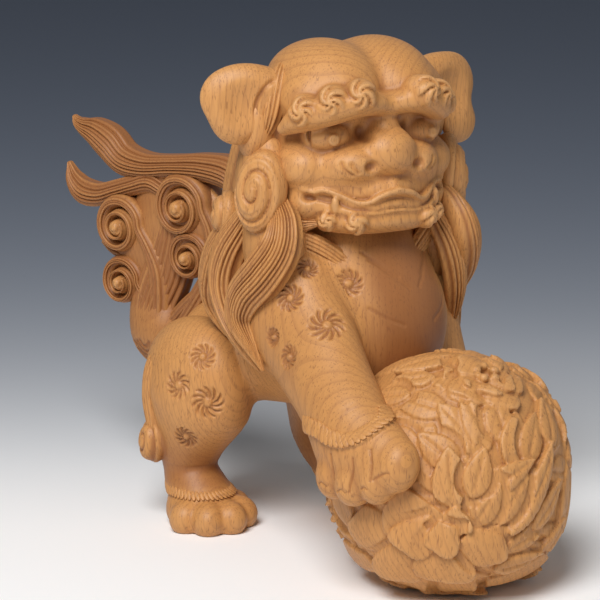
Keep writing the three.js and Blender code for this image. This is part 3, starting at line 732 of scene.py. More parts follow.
def wood_material(name, wood, carved):
    """Oiled wood, cut from one block; a carved piece also gets painted shade in its hollows and sheltered
    parts.
    """
    material = bpy.data.materials.new(name)
    material.use_nodes = True
    tree = material.node_tree
    tree.nodes.clear()
    place = node(tree, "ShaderNodeTexCoord", (-900, 0))
    rings = node(tree, "ShaderNodeGroup", (-650, 0),
                 {"Place": place.outputs["Object"], "Ring Scale": 0.314 / wood.ring_spacing,
                  "Pore Scale": 0.9 / wood.pore_width},
                 node_tree=bpy.data.node_groups.get("growth_rings") or growth_ring_group()).outputs
    layers = [(wood.warm_wood, rings["Mottle"], 1.0),
              (wood.late_wood, rings["Late Wood"], wood.ring_contrast),
              (wood.late_wood, rings["Fibre"], 0.3)]
    if carved:
        # The depth of painted shade and rubbed wear that each piece carries
        shade_and_wear = node(tree, "ShaderNodeAttribute", (-650, -350), attribute_name="shade_and_wear")
        tone = node(tree, "ShaderNodeGroup", (-400, -350), {"Shade And Wear": shade_and_wear.outputs["Fac"]},
                    node_tree=bpy.data.node_groups.get("shade_and_wear_tone") or shade_and_wear_group()).outputs
        layers += [(wood.rubbed, tone["Ridge"], 0.3), (wood.hollow, tone["Painted Shade"], 0.85)]
    layers.append((wood.pore, rings["Pores"], 0.48))
    colour = rgba(wood.early_wood)
    for i, (tint, mask, share) in enumerate(layers):
        amount = node(tree, "ShaderNodeMath", (150 * i - 350, -100), {0: mask, 1: share},
                      operation="MULTIPLY", use_clamp=True)
        colour = node(tree, "ShaderNodeMix", (150 * i - 350, 150),
                      {"A": colour, "B": rgba(tint), "Factor": amount.outputs[0]},
                      data_type="RGBA").outputs["Result"]
    bump = node(tree, "ShaderNodeBump", (350, -350),
                {"Strength": 0.12, "Distance": 0.0002, "Height": rings["Pores"]}, invert=True)
    shader = node(tree, "ShaderNodeBsdfPrincipled", (600, 0),
                  {"Base Color": colour, "Roughness": wood.gloss_roughness, "Specular IOR Level": 0.36,
                   "Normal": bump.outputs["Normal"]})
    node(tree, "ShaderNodeOutputMaterial", (900, 0), {"Surface": shader.outputs["BSDF"]})
    return material


def carved_wood(context):
    """The figure's wood, made once."""
    found = bpy.data.materials.get("oiled_carved_wood")
    return found or wood_material("oiled_carved_wood", context.scene.lion_wood, True)


# Pieces


def placed(context, name, mesh, shade_and_wear, cad_node):
    """A mesh, with the depth of painted shade and rubbed wear at each point, as the object that stands for a
    CAD node.
    """
    hollows = mesh.attributes.new("shade_and_wear", "FLOAT", "POINT")
    hollows.data.foreach_set("value", shade_and_wear.astype(np.float32))
    piece = bpy.data.objects.new(name, mesh)
    context.scene.collection.objects.link(piece)
    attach(piece, "root")
    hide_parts(cad_node)


def mesh_piece(context, name, surface, cad_node):
    """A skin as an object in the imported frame."""
    points = ((surface.points + drawing_shift()) / 1000.0).astype(np.float32)
    faces = surface.faces.astype(np.int32)
    mesh = bpy.data.meshes.new(name)
    mesh.vertices.add(len(points))
    mesh.vertices.foreach_set("co", points.ravel())
    mesh.loops.add(faces.size)
    mesh.loops.foreach_set("vertex_index", faces.ravel())
    mesh.polygons.add(len(faces))
    mesh.polygons.foreach_set("loop_start", np.arange(0, faces.size, 4, dtype=np.int32))
    mesh.polygons.foreach_set("use_smooth", np.ones(len(faces), bool))
    mesh.update(calc_edges=True)
    mesh.validate()
    mesh.materials.append(carved_wood(context))
    placed(context, name, mesh, surface.shade_and_wear, cad_node)


def grid_step(fine):
    return fine


# Trunk and legs

TRUNK_KNOTS = [
    (0, 60, 66, 20, 17),
    (0, 46, 65, 22, 18.5),
    (0, 26, 66, 23, 18.5),
    (0, 4, 76, 27, 27),
    (0, -14, 86, 30.5, 34),
    (0, -27, 92, 27, 30),
]
HIND_STANCE = 27.0
FORE_STANCE = 31.0
RIGHT_HIND = {"thigh": 42.0, "hock": 49.0, "heel": 46.0, "foot": 36.0}
LEFT_HIND = {"thigh": 24.5, "hock": 31.5, "heel": 12.5, "foot": 2.5}
FORE_FOOT_Y = -39.0
PAW_OUT = np.array((-0.965, 0.0, 0.263))
PAW_DOWN = np.array((-0.263, 0.0, -0.965))
PAW_FORWARD = np.array((0.0, -1.0, 0.0))
PAW_PLACE = np.array((-47.85, -72.0, 54.6))
# Toes on the ball: forward, down and outward from the middle of the paw
PAW_TOES = [(-9.0, 8.5, 2.2), (1.0, 8.8, 2.8), (10.5, 6.0, 1.6), (17.0, 0.5, 0.4)]
# Lines between the toes and crescents over the claws, as rows of forward and down
PAW_CUTS = [
    [(-5.0, 2.0), (-4.2, 8.0), (-4.0, 15.0)],
    [(5.0, 1.0), (6.0, 7.0), (6.6, 14.0)],
    [(11.5, -3.5), (13.6, 1.5), (14.6, 7.5)],
    [(-12.0, 15.0), (-9.5, 13.0), (-6.6, 15.0)],
    [(-1.5, 15.2), (1.0, 13.2), (3.8, 15.0)],
    [(8.4, 12.8), (10.6, 10.6), (12.8, 11.8)],
    [(16.0, 7.0), (18.4, 4.6), (21.0, 4.2)],
]
WRIST_WAY = (0.24, 0.78, 0.57)


def trunk_shapes():
    """Barrel of the body, breast and neck, with the blend of each."""
    return [
        (Limb(TRUNK_KNOTS, (0, 0, 1)), 0.0),
        (Egg((0, -25, 86), (27, 23, 33)), 8.0),
        (Egg((-2, -15, 112), (27, 23, 20)), 10.0),
    ]


def foot_shapes(x, y):
    """Pad and five toes round the front of a standing foot."""
    shapes = [(Egg((x, y + 3, 5), (14.5, 15.5, 9.5)), 4.0)]
    for turn in (-84, -42, 0, 42, 84):
        s, c = math.sin(math.radians(turn)), math.cos(math.radians(turn))
        axes = [(c, s, 0), (-s, c, 0), (0, 0, 1)]
        shapes.append((Egg((x + 11.4 * s, y + 2.0 - 12.8 * c, 4.8), (6.6, 7.4, 7.0), axes), 1.6))
    return shapes


def hind_shapes(side, place):
    """Thigh, shank, foot and the curl at the end of the thigh's lock."""
    x = side * HIND_STANCE
    thigh, hock, heel = place["thigh"], place["hock"], place["heel"]
    shank = [(x, thigh, 48, 14.5, 19), (x, hock - 1, 31, 12.5, 13), (x, (hock + heel) / 2, 20, 9.9, 10.3),
             (x, heel - 4, 8, 12, 12.5)]
    knot = (x + side * 12.5, hock + 6.0, 32.5)
    return [
        (Egg((x, thigh, 59), (17, 25, 22.5)), 11.0),
        (Limb(shank, (0, -1, 0)), 11.0),
        *foot_shapes(x, place["foot"]),
        (Swirl(knot, (side, 0.35, 0.15), (0, 0, 1), (7.0, 9.2, 6), 2.4, side, 1.2), 1.0),
    ]


def hind_lock(side, place):
    """The lock of hair down the back of a thigh."""
    x = side * HIND_STANCE
    back = place["thigh"] + 15.0
    knots = [(x + side * 6, back - 7, 74, 2.5, 2.5), (x + side * 11, back - 2, 63, 6.5, 4),
             (x + side * 12, back, 50, 7, 4), (x + side * 12, place["hock"] + 6, 38, 5, 3.5)]
    return Lock(knots, (side, 0.7, 0), 8, 1.1, 3).skin()


def standing_fore_shapes():
    """Shoulder, leg and foot of the left foreleg."""
    x = FORE_STANCE
    stations = [(x, -15, 86, 13, 18), (x, -29, 62, 11.8, 13), (x, -33, 40, 10.6, 11.2),
                (x, -33, 22, 10.4, 10.9), (x, -33, 8, 11.6, 12.2)]
    return [
        (Egg((x, -12, 95), (13.5, 21, 26)), 8.0),
        (Limb(stations, (0, -1, 0)), 8.0),
        *foot_shapes(x, FORE_FOOT_Y),
    ]


def on_paw(forward, down, out):
    """A place forward, down and outward from the middle of the raised paw."""
    return PAW_PLACE + PAW_FORWARD * forward + PAW_DOWN * down + PAW_OUT * out


def raised_fore_shapes():
    """Shoulder, bent arm and the paw on the ball of the right foreleg."""
    arm = [(-31, -17, 95, 14, 19), (-35, -32, 83, 14, 18.5), (-40.5, -49, 71, 13.5, 16),
           (-45, -62, 62, 13.5, 15.5), (-47.5, -70, 56, 10, 15)]
    axes = [PAW_OUT, PAW_FORWARD, PAW_DOWN]
    return [
        (Egg((-31, -12, 95), (14, 21, 27)), 8.0),
        (Limb(arm, (-0.2, 0.5, -0.8)), 8.0),
        (Egg(PAW_PLACE + PAW_FORWARD * 1, (10.5, 21.5, 14.5), axes), 5.0),
        *[(Egg(on_paw(*toe), (7.6, 7.4, 9.4), axes), 1.4) for toe in PAW_TOES],
    ]


def paw_path(rows):
    """A path on the outer face of the paw from rows of forward and down."""
    return [on_paw(forward, down, 11.0) for forward, down in rows]


# Height of the hair's edge over the standing feet
ANKLE = 12.6
# The lower edge of the wrist's hair
WRIST_PATH = [(-52, -52, 60), (-57.5, -58, 60.5), (-58.6, -66, 58.5), (-57.5, -74.5, 59), (-54.5, -80, 61.5),
              (-49.8, -83.1, 65), (-45, -83, 69.5), (-40, -80, 74)]

# The hind legs' sides and stances
HINDS = {"hindleg_right": (RIGHT, RIGHT_HIND), "hindleg_left": (LEFT, LEFT_HIND)}
LEG_SHAPES = {
    "hindleg_right": lambda: hind_shapes(RIGHT, RIGHT_HIND),
    "hindleg_left": lambda: hind_shapes(LEFT, LEFT_HIND),
    "foreleg_left": standing_fore_shapes,
    "foreleg_right": raised_fore_shapes,
}
LEG_BOXES = {
    "hindleg_right": ((-52, 6, -1), (-2, 82, 88)),
    "hindleg_left": ((2, -24, -1), (52, 64, 88)),
    "foreleg_left": ((8, -64, -1), (54, 14, 128)),
    "foreleg_right": ((-68, -104, 32), (-6, 14, 128)),
}
# Rosettes: place and radius; those of the left side mirror the right
FORE_ROSETTES = [(-42.7, -27.7, 101.8, 5.4), (-39.8, -44.0, 94.9, 7.2), (-49.3, -34.5, 82.8, 4.8),
                 (-47.6, -24.0, 88.0, 3.8), (-35.0, -28.7, 112.1, 4.2)]
HIND_ROSETTES = [(-37.1, -14.1, 69.9, 5.4), (-43.2, -6.6, 58.6, 6.0), (-38.6, -18.1, 53.0, 6.8),
                 (-40.3, -6.9, 37.4, 5.2)]
# Lines of hair on the breast, mirrored for the left
BREAST_CUTS = [
    [(-14.5, -38.8, 114), (-8.5, -44, 108.5), (-2.5, -47.5, 103)],
    [(-19, -43.5, 97.5), (-13.5, -47.5, 93.5), (-7.5, -50, 90.5)],
    [(-16.5, -37.5, 117), (-11, -42.5, 112), (-6, -46, 107.5)],
]
BREAST_ROSETTES = [(-22.3, -36.5, 105.8, 5.4), (22.3, -36.5, 105.8, 5.4)]


def rosettes(name):
    """Place and radius of each rosette on a piece; those of the hind legs hang from the thigh."""
    if name == "trunk":
        return BREAST_ROSETTES
    rows = np.array(FORE_ROSETTES if name.startswith("fore") else HIND_ROSETTES)
    if name in HINDS:
        rows[:, 1] += HINDS[name][1]["thigh"]
    return rows if name.endswith("right") else rows * (-1, 1, 1, 1)


def rosette_cuts(skin, name, carving):
    """Depth of all rosettes of a piece."""
    total = np.zeros(len(skin.points))
    depth = carving.rosette_cut * 1000.0
    for i, (*place, radius) in enumerate(rosettes(name)):
        spin = 1.0 if i % 2 else -1.0
        cut = pinwheel(skin, place, radius, carving.rosette_strokes, depth, spin, 0.07 * i)
        total = np.maximum(total, cut)
    return total


def mould(shapes, low, high, step):
    """A carving of shapes in a box."""
    clay = Clay(low, high, step)
    for shape, blend in shapes:
        clay.press(shape, blend)
    return clay


def body_carving(name, low, high, step):
    """One piece of the body, cut from the blended whole where it is nearest."""
    trunk = mould(trunk_shapes(), low, high, step)
    legs = {leg: mould(shapes(), low, high, step) for leg, shapes in LEG_SHAPES.items()}
    whole = Clay(low, high, step)
    whole.field = trunk.field.copy()
    for leg in legs.values():
        whole.field = soft_least(whole.field, leg.field, 6.0)
    if name == "trunk":
        nearest = np.minimum.reduce([leg.field for leg in legs.values()])
        whole.field = np.maximum(whole.field, np.clip(trunk.field - nearest - 3.0, -FAR, FAR))
        whole.field = whole.field + 0.12 * soft_step(trunk.field - nearest, -0.8, 0.4)
    else:
        others = [leg.field for key, leg in legs.items() if key != name]
        nearest = np.minimum.reduce([trunk.field] + others)
        whole.field = np.maximum(whole.field, np.clip(legs[name].field - nearest, -FAR, FAR))
    whole.keep_above(0.0)
    return whole


# Ball

BALL_PLACE = np.array((-5.4, -72.0, 41.8))
BALL_CORE = 41.6
# The power of the ball's lower half, which is fuller than a round one, at 2
FULLNESS = 2.7
# The ball's front and the directions to the right and up on it, as the viewer sees it
BALL_FRONT = np.array((-0.654, -0.727, 0.208))
BALL_RIGHT = np.array((0.743, -0.669, 0.0))
BALL_UP = np.array((0.139, 0.155, 0.978))
# Leaves on the front: how far right and up their middle lies, the way they point, length, half width, rise
FRONT_LEAVES = [
    (-15, 17, 128, 22, 6.5, 0.3), (-21, 11, 150, 20, 6.5, 0.2), (-13, 24, 152, 22, 5.5, 0.4),
    (-9, 3, 118, 20, 6.5, 0.2),
    (-17.6, 30.3, 172, 23, 4.6, 0.7), (-10.2, 36.5, 195, 21, 5.0, 0.9), (-23, 26, 160, 18, 4.2, 0.4),
    (1.0, 16.3, 128, 23, 6.2, 0.6), (6.0, 18.5, 108, 23, 5.0, 0.8), (-7, 9, 140, 18, 5.5, 0.3),
    (14.0, 19.4, 98, 19, 5.4, 0.5), (20.2, 12.0, 74, 21, 6.6, 0.9), (26.0, 12.5, 60, 20, 5.0, 0.5),
    (31.5, 17.0, 72, 18, 5.0, 0.8), (31.3, -23.3, 42, 19, 4.0, 0.7), (24.5, -20.5, 19, 22, 4.2, 0.5),
    (31.6, -10.9, 39, 21, 4.0, 0.6), (27.0, -5.0, 54, 36, 4.6, 0.9), (18.9, -7.5, 58, 22, 4.6, 0.6),
    (15.2, -1.6, 27, 28, 4.8, 0.8), (10.0, -9.7, 62, 18, 5.2, 0.4), (-2.4, -1.0, 95, 22, 6.6, 0.9),
    (7.0, 1.0, 75, 18, 5.0, 0.4), (19.6, -30.0, 346, 19, 4.6, 0.6),
]
# Petals of the blossom low on the left of the front, in the same way
FRONT_PETALS = [
    (-33, -29, 205, 19, 10.0, 0.2), (-37, -20, 192, 19, 10.0, 0.3), (-39, -11, 180, 19, 10.0, 0.2),
    (-12, -38.0, 262, 18, 11.0, 0.0), (4.0, -38.5, 285, 18, 11.0, 0.1), (20.0, -35.0, 340, 24, 8.0, 0.2),
    (-27, -31.5, 228, 18, 9.5, 0.35), (-25.5, -20.0, 190, 22, 10.2, 0.4), (-17.0, -30.5, 246, 18, 9.4, 0.5),
    (-15.5, -14.5, 165, 21, 11.0, 0.6), (-4.3, -28.5, 272, 20, 10.6, 0.65), (8.0, -24.0, 318, 15, 8.0, 0.6),
    (-12.5, -20.5, 222, 16, 8.4, 0.8), (-1.0, -16.0, 40, 11, 6.0, 0.75), (-4.5, -20.5, 255, 11, 6.4, 0.95),
]
# The open blossom on top and smaller flowers round the back: the way each faces, petals, length, half width
FLOWERS = [
    ((-0.07, -0.45, 0.89), 6, 15, 8.0),
    ((0.75, -0.25, 0.55), 6, 17, 9.0),
    ((0.85, 0.45, -0.25), 6, 19, 10.0),
    ((0.15, 0.80, 0.50), 6, 18, 9.5),
    ((-0.55, 0.70, -0.40), 6, 18, 9.5),
]
# Sprays of long leaves: where each springs, the way it runs, leaves, fan, length and width
SPRAYS = [
    ((0.55, -0.82, 0.15), (0.6, 0.3, -0.5), 5, 130, 32, 6.2),
    ((0.35, 0.2, -0.9), (0.8, -0.3, 0.4), 5, 140, 32, 6.4),
    ((-0.2, 0.95, -0.1), (0.3, 0.1, -0.9), 5, 140, 32, 6.4),
    ((-0.8, 0.2, 0.5), (-0.3, 0.8, -0.3), 5, 130, 30, 6.4),
    ((0.6, 0.4, 0.65), (0.5, 0.5, -0.6), 5, 140, 30, 6.2),
]
UNDER_LEAVES = 64
# Where the hollows of the ball's scalloped foot are cut, in degrees round it
FOOT_TURNS = (14, 56, 100, 148, 190, 238, 282, 325)


def spun(axis, vector, turn):
    """A vector turned about an axis by degrees."""
    axis, vector = unit(axis), np.asarray(vector, float)
    s, c = math.sin(math.radians(turn)), math.cos(math.radians(turn))
    return vector * c + np.cross(axis, vector) * s + axis * np.dot(axis, vector) * (1 - c)


def front_petal(row, kind, lift, wave):
    """A leaf or petal whose middle lies at a place on the ball's front."""
    right, up, turn, length, width, rise = row
    deep = math.sqrt(max(BALL_CORE ** 2 - right ** 2 - up ** 2, 4.0))
    middle = unit(BALL_RIGHT * right + BALL_UP * up + BALL_FRONT * deep)
    along = BALL_RIGHT * math.cos(math.radians(turn)) + BALL_UP * math.sin(math.radians(turn))
    along = unit(along - middle * np.dot(along, middle))
    half = 0.5 * length / BALL_CORE
    pole = middle * math.cos(half) - along * math.sin(half)
    tilt = 0.55 if kind == "petal" else 0.35
    return Petal(pole, along, length, width, lift * (rise - 0.6 * tilt), kind, tilt * lift, wave)


def ball_carving(carving):
    """Peonies and their leaves in relief all over a ball, with a scalloped foot."""
    clay = Clay(BALL_PLACE - 48, BALL_PLACE + 48, grid_step(BALL_GRID))
    clay.press(Egg(BALL_PLACE, (BALL_CORE, BALL_CORE, BALL_CORE)), 0.0)
    rng = np.random.default_rng(11)
    lift = carving.leaf_lift * 1000.0
    for i in range(UNDER_LEAVES):
        z = 1.0 - 2.0 * (i + 0.5) / UNDER_LEAVES
        turn = 2.4 * i
        pole = np.array((math.sqrt(1 - z * z) * math.cos(turn), math.sqrt(1 - z * z) * math.sin(turn), z))
        clay.lay(Petal(pole, rng.normal(size=3), rng.uniform(18, 26), rng.uniform(5, 7.5),
                       lift * rng.uniform(0.05, 0.3), "leaf", lift * rng.uniform(0.0, 0.3)))
    for pole, way, count, fan, length, width in SPRAYS:
        way = unit(np.asarray(way) - np.asarray(pole) * np.dot(way, unit(pole)))
        for i in rng.permutation(count):
            turn = fan * (i / (count - 1) - 0.5) + rng.uniform(-5, 5)
            size = length * rng.uniform(0.85, 1.12)
            clay.lay(Petal(pole, spun(pole, way, turn), size, width, lift * rng.uniform(0.3, 0.7), "leaf",
                           lift * rng.uniform(0.0, 0.3)))
    for row in FRONT_LEAVES:
        clay.lay(front_petal(row, "leaf", lift, 0.0))
    for pole, count, length, width in FLOWERS:
        start = np.cross(pole, (0.3, 0.2, 0.9))
        for ring, share, rise in ((0, 1.0, 0.35), (1, 0.66, 0.8)):
            for i in range(count - ring):
                turn = 360.0 * (i + 0.5 * ring) / (count - ring) + rng.uniform(-12, 12)
                clay.lay(Petal(pole, spun(pole, start, turn), length * share, width * (0.55 + 0.45 * share),
                               lift * rise * rng.uniform(0.8, 1.2), "petal", lift * 0.3,
                               rng.uniform(0, 6.3)))
        heart = BALL_PLACE + unit(pole) * (BALL_CORE + 0.8 * lift)
        clay.carve(Egg(heart, (2.6, 2.6, 2.6)), 0.8)
        for i in range(5):
            off = spun(pole, unit(start), 72.0 * i + rng.uniform(-12, 12)) * 3.6
            clay.press(Egg(heart + off, (1.8, 1.8, 1.6)), 0.5)
    for i, row in enumerate(FRONT_PETALS):
        clay.lay(front_petal(row, "petal", lift, 1.7 * i))
    upright = (0, 0, 1)
    for turn in FOOT_TURNS:
        way = np.array((math.sin(math.radians(turn)), -math.cos(math.radians(turn)), 0))
        hollow = BALL_PLACE * (1, 1, 0) + way * 20.5 + (0, 0, -1.0)
        clay.carve(Egg(hollow, (6, 6.5, 6), [way, np.cross(upright, way), upright]), 1.0)
    clay.keep_above(0.0)
    return clay


# Head: its own axes are side (to the lion's left), forward and up from the ear line

HEAD_PLACE = (-2.0, -13.0, 168.0)
HEAD_TURN = 12.0


def head_axes():
    """The head's side, forward and up directions on the drawing."""
    s, c = math.sin(math.radians(HEAD_TURN)), math.cos(math.radians(HEAD_TURN))
    return [(c, -s, 0.0), (-s, -c, 0.0), (0.0, 0.0, 1.0)]


def face_form(clay):
    """Skull, forehead, cheeks, muzzle and neck."""
    add = clay.press
    add(Egg((0, -3, -4), (33, 29, 24)), 0.0)
    add(Egg((0, -6, -40), (27, 24, 26)), 10.0)
    add(Egg((0, 7, -18), (30, 17, 18)), 6.0)
    for s in (RIGHT, LEFT):
        add(Egg((s * 11, 2, 7.5), (19.5, 25, 16)), 3.0)
        add(Egg((s * 21, 12, 3), (12, 12, 10.5)), 4.0)
        add(Egg((s * 12, 19, 5), (12.5, 11, 9)), 4.0)
        add(Egg((s * 24.5, 13.0, -21.0), (10.8, 10.5, 9.0)), 5.0)
        add(Egg((s * 24, 13, -33.5), (8.5, 9.5, 8)), 4.0)
        add(Egg((s * 36, -3, -8), (7.5, 8, 13)), 3.0)
    add(Egg((0, 16, -25.5), (26, 16.5, 8.5)), 4.0)
    add(Egg((0, 9.5, -37), (22, 18, 9)), 4.0)


def brow_and_eye(clay, s):
    """The heavy brow, its curls and the eye in its shade, on one side."""
    add = clay.press
    wide = s if s < 0 else 0.88 * s
    add(Egg((s * 18.5, 17.2, -9.4), (9.6, 9.0, 6.4)), 1.0)
    clay.carve(Egg((s * 9.2, 28, -8.0), (2.4, 5.5, 3.4)), 1.8)
    ridge = [(0, 26.5, 1.2, 3.8, 5), (8, 29.4, 2.6, 4.4, 5.8), (15.4, 30.4, 3.0, 5.2, 6.2),
             (24, 26.4, 0.4, 5.4, 6.2), (30.4, 18.8, -2.8, 4.8, 4.8), (33.0, 11.5, -7.0, 2.4, 2.4)]
    add(Limb(sided(wide, ridge), (s * 0.3, 1, 0.2)), 2.2)
    add(Egg((s * 20.6, 26.0, -10.0), (2.3, 1.3, 2.3)), 0.4)
    clay.carve(Egg((s * 20.7, 27.6, -10.0), (1.0, 1.0, 1.0)), 0.5)
    crease = [(27, 20.5, -4, 0.6, 2), (27.6, 20, -8.5, 0.7, 2), (27, 20.5, -13, 0.5, 1.6)]
    clay.carve(Limb(sided(s, crease), (s * 0.6, 0.8, 0)), 0.4)
    for place, size in (((15.0, 34.8, 6.4), 6.0), ((24.2, 30.4, 4.0), 6.2), ((31.6, 23.6, 0.4), 6.0)):
        at = np.array(place) * (wide, 1, 1)
        away = unit((wide * place[0] / 30, 0.9, 0.1))
        add(Egg(at - away * 4, (size, size, size)), 1.2)
        add(Swirl(at - away, away, (0.25 * s, 0, 1), (size, size, 0.85 * size), 1.7, -s, 2.1, 1, 5), 0.3)


def nose_and_lips(clay):
    """Broad nose with round nostrils and the wavy upper lip."""
    add = clay.press
    band = [(26, 17.5, -27.0, 2.4, 2.4), (19, 23.2, -27.6, 3.0, 2.8), (12, 27.8, -29.6, 3.0, 3),
            (5, 31.2, -28.4, 3.2, 3.2), (0, 32.0, -27.6, 3.2, 3.2)]
    ridge = [(32, 10, -26, 1.2, 1.6), (29.2, 17, -28.0, 1.4, 2.4), (26.4, 19.8, -29.4, 1.3, 2.6),
             (23.2, 22.6, -28.6, 1.3, 2.7), (19, 26.2, -30.2, 1.3, 2.8), (14, 29.9, -32.9, 1.4, 3.0),
             (10, 32.2, -32.8, 1.4, 3.0), (5.6, 34.2, -30.2, 1.4, 3.0), (0, 35.0, -28.8, 1.5, 3.0)]
    for s in (RIGHT, LEFT):
        add(Egg((s * 11, 24.8, -19.2), (10.5, 9.6, 7.2)), 3.0)
        add(Egg((s * 17.5, 21.5, -20.6), (7, 7.6, 6.6)), 3.0)
    add(Egg((0, 24.6, -6.6), (5.8, 6.6, 6.6)), 1.5)
    add(Egg((0, 26.6, -15.4), (11.6, 11.6, 9.8)), 1.8)
    for s in (RIGHT, LEFT):
        clay.carve(Egg((s * 10, 35.6, -19.6), (2.9, 3.6, 2.7)), 1.2)
        add(Limb(sided(s, band), (s * 0.3, 1, 0)), 2.0)
        add(Limb(sided(s, ridge), (s * 0.3, 1, 0.4)), 0.6)


def jaw_and_beard(clay):
    """Lower lip and jaw closed against the upper lip, with fangs and beard curls along them."""
    add = clay.press
    lower_lip = [(-24, 17, -34.8, 3.2, 4.5), (-19, 22, -35, 3.2, 5.5), (-12, 27.4, -35.8, 3, 6.5),
                 (0, 29.6, -35, 3.2, 6.5)]
    jaw = [(-20, 19.5, -39, 4.8, 6), (-12, 26.2, -39.4, 5.0, 7), (0, 28.6, -39.4, 5.0, 7)]
    between = [(-26, 16.2, -32.6, 2.6, 4), (-19, 22.4, -33, 2.6, 4.4), (-12, 28.2, -34.4, 2.2, 4.6),
               (0, 31.6, -33, 2.6, 4.4)]
    for rows, blend in ((lower_lip, 1.0), (jaw, 1.2), (between, 1.0)):
        add(Limb(mirrored(rows), (0, 1, 0)), blend)
    for s in (RIGHT, LEFT):
        clay.carve(Egg((s * 28, 20.5, -31.0), (2.0, 2.0, 1.2)), 1.8)
        add(Egg((s * 21.0, 27.6, -33.2), (1.6, 1.6, 3.4)), 0.4)
        for place, size in (((14.6, 31.8, -39.4), 4.5), ((22.4, 25.2, -39.0), 3.9)):
            at = np.array(place) * (s, 1, 1)
            away = (s * place[0] / 24, 0.8, 0)
            add(Swirl(at, away, (0, 0, 1), (size, size, size), 1.5, -s, 1.3, 1, 4), 0.6)


# Folds beside the nose on the right, mirrored for the left
NOSE_FOLDS = [
    [(-20.2, 30.5, -17.8), (-19.6, 31, -20), (-16.7, 32, -22.8)],
    [(-17.3, 32.3, -18), (-16.4, 32.8, -19.8), (-14.7, 33, -21.4)],
]
# Where the lips meet, from the right to the left
MOUTH_LINE = mirrored([(-26, 20.4, -31.4), (-20, 26.6, -33.0), (-14, 31.6, -35.2), (-7, 35.2, -35.2),
                       (0, 36.4, -34.4)])
# Locks of the jowl, beard and temple: rows of side, forward, up, half width and half depth, then the way
# that a lock faces, its strands, the depth of its cuts and its seed
FACE_LOCKS = [
    ([(23, 20, -40, 1.5, 2), (28.5, 14, -40.5, 4.5, 3.5), (33, 5, -38, 5.5, 4), (34.5, -5, -31, 4, 3)],
     (1, 0.5, -0.3), 6, 0.9, 5),
    ([(33, 7, -42, 3.5, 2.5), (28.5, 12.5, -47.5, 5.5, 3), (20, 18.5, -53, 6, 3), (12, 22.5, -58, 3.8, 2.5),
      (6, 24.6, -61, 0.8, 0.8)], (0.4, 1, -0.3), 8, 0.9, 8),
    ([(22.5, -3, 14.5, 2, 2), (29.2, 2.4, 12.0, 3.8, 2.8), (32.6, 5.0, 4, 4.2, 3.0),
      (34.6, 5.0, -4, 3.8, 3.0), (35.5, 2, -12, 1.2, 1.2)], (1, 0.5, 0.2), 5, 0.9, 9),
]
# The front, middle and rear locks that hang from each cheek, in the same way, and the left breast's lock
MANE_LOCKS = [
    ([(33, 10, -33, 4, 4), (36.5, 18, -40, 7, 5), (39.5, 20, -48, 8.5, 6), (43, 14.5, -58, 9, 6.5),
      (45.5, 5.5, -68, 8.2, 6), (45.5, 2, -77, 6, 5), (43.5, 6.5, -86, 3.4, 3.4), (42, 12, -94, 0.7, 0.7)],
     (1, 0.55, 0.1), 12, 1.5, 2),
    ([(36, -2, -36, 5, 5), (41.5, -12, -52, 8, 6), (43, -15, -66, 8, 6), (43, -9, -79, 6, 5),
      (42, 1, -89, 3.2, 3.2), (41, 8, -95, 0.7, 0.7)], (1, 0, 0), 10, 1.4, 4),
    ([(34, -12, -40, 5, 5), (38.5, -25, -54, 7.5, 5.5), (38.5, -33, -68, 7, 5.5), (36, -36, -80, 4.5, 4.2),
      (34, -31, -90, 0.7, 0.7)], (1, -0.4, 0), 9, 1.4, 6),
    ([(27, 15, -40, 4, 3.5), (33, 19, -53, 7, 4.5), (37, 18, -66, 6.5, 4.5), (39, 14, -78, 4, 3.5),
      (40, 10, -88, 0.7, 0.7)], (0.6, 0.8, 0), 8, 1.3, 7),
]


def side_lock(s, rows, way, strands, cut, seed):
    """A lock of the left side, or its mirror image on the right."""
    return Lock(sided(s, rows), np.array(way) * (s, 1, 1), strands, cut, seed).skin()


def head_carving():
    """Face, forehead, jaw, beard and neck."""
    clay = Clay((-45, -40, -66), (45, 46, 27), grid_step(FACE_GRID))
    face_form(clay)
    nose_and_lips(clay)
    for s in (RIGHT, LEFT):
        brow_and_eye(clay, s)
    jaw_and_beard(clay)
    skin = clay.skin()
    folds = [np.array(path) * (s, 1, 1) for path in NOSE_FOLDS for s in (1, -1)]
    # Stronger painted shade in the face's hollows
    skin.shade_and_wear *= FACE_SHADE
    skin.cut(strokes_depth(skin, folds, 1.0, 1.1))
    skin.cut(strokes_depth(skin, [MOUTH_LINE], 0.9, 0.9))
    locks = [side_lock(s, *lock) for s in (RIGHT, LEFT) for lock in FACE_LOCKS]
    return merged([skin] + locks).turned(head_axes(), HEAD_PLACE)


def mane_carving(s):
    """The cheek scroll and the hanging locks on one side of the head."""
    near, far = sorted((s * 12, s * 56))
    clay = Clay((near, -42, -76), (far, 32, 0), grid_step(MANE_GRID))
    add = clay.press
    add(Egg((s * 33, -3, -28), (9, 14, 20)), 0.0)
    add(Egg((s * 32, 4, -50), (11, 15, 21)), 6.0)
    add(Swirl((s * 40.5, 8, -29), (s, 0.6, 0.1), (0, 0.12, 1), (10.5, 15.5, 7), 2.3, -s, 1.5, 3), 1.0)
    add(Swirl((s * 38, -22, -43), (s, -0.3, 0), (0, 0.1, 1), (8, 10, 6), 2.1, s, 1.4, 3), 1.0)
    locks = [side_lock(s, *lock) for lock in (MANE_LOCKS if s > 0 else MANE_LOCKS[:3])]
    return merged([clay.skin()] + locks).turned(head_axes(), HEAD_PLACE)


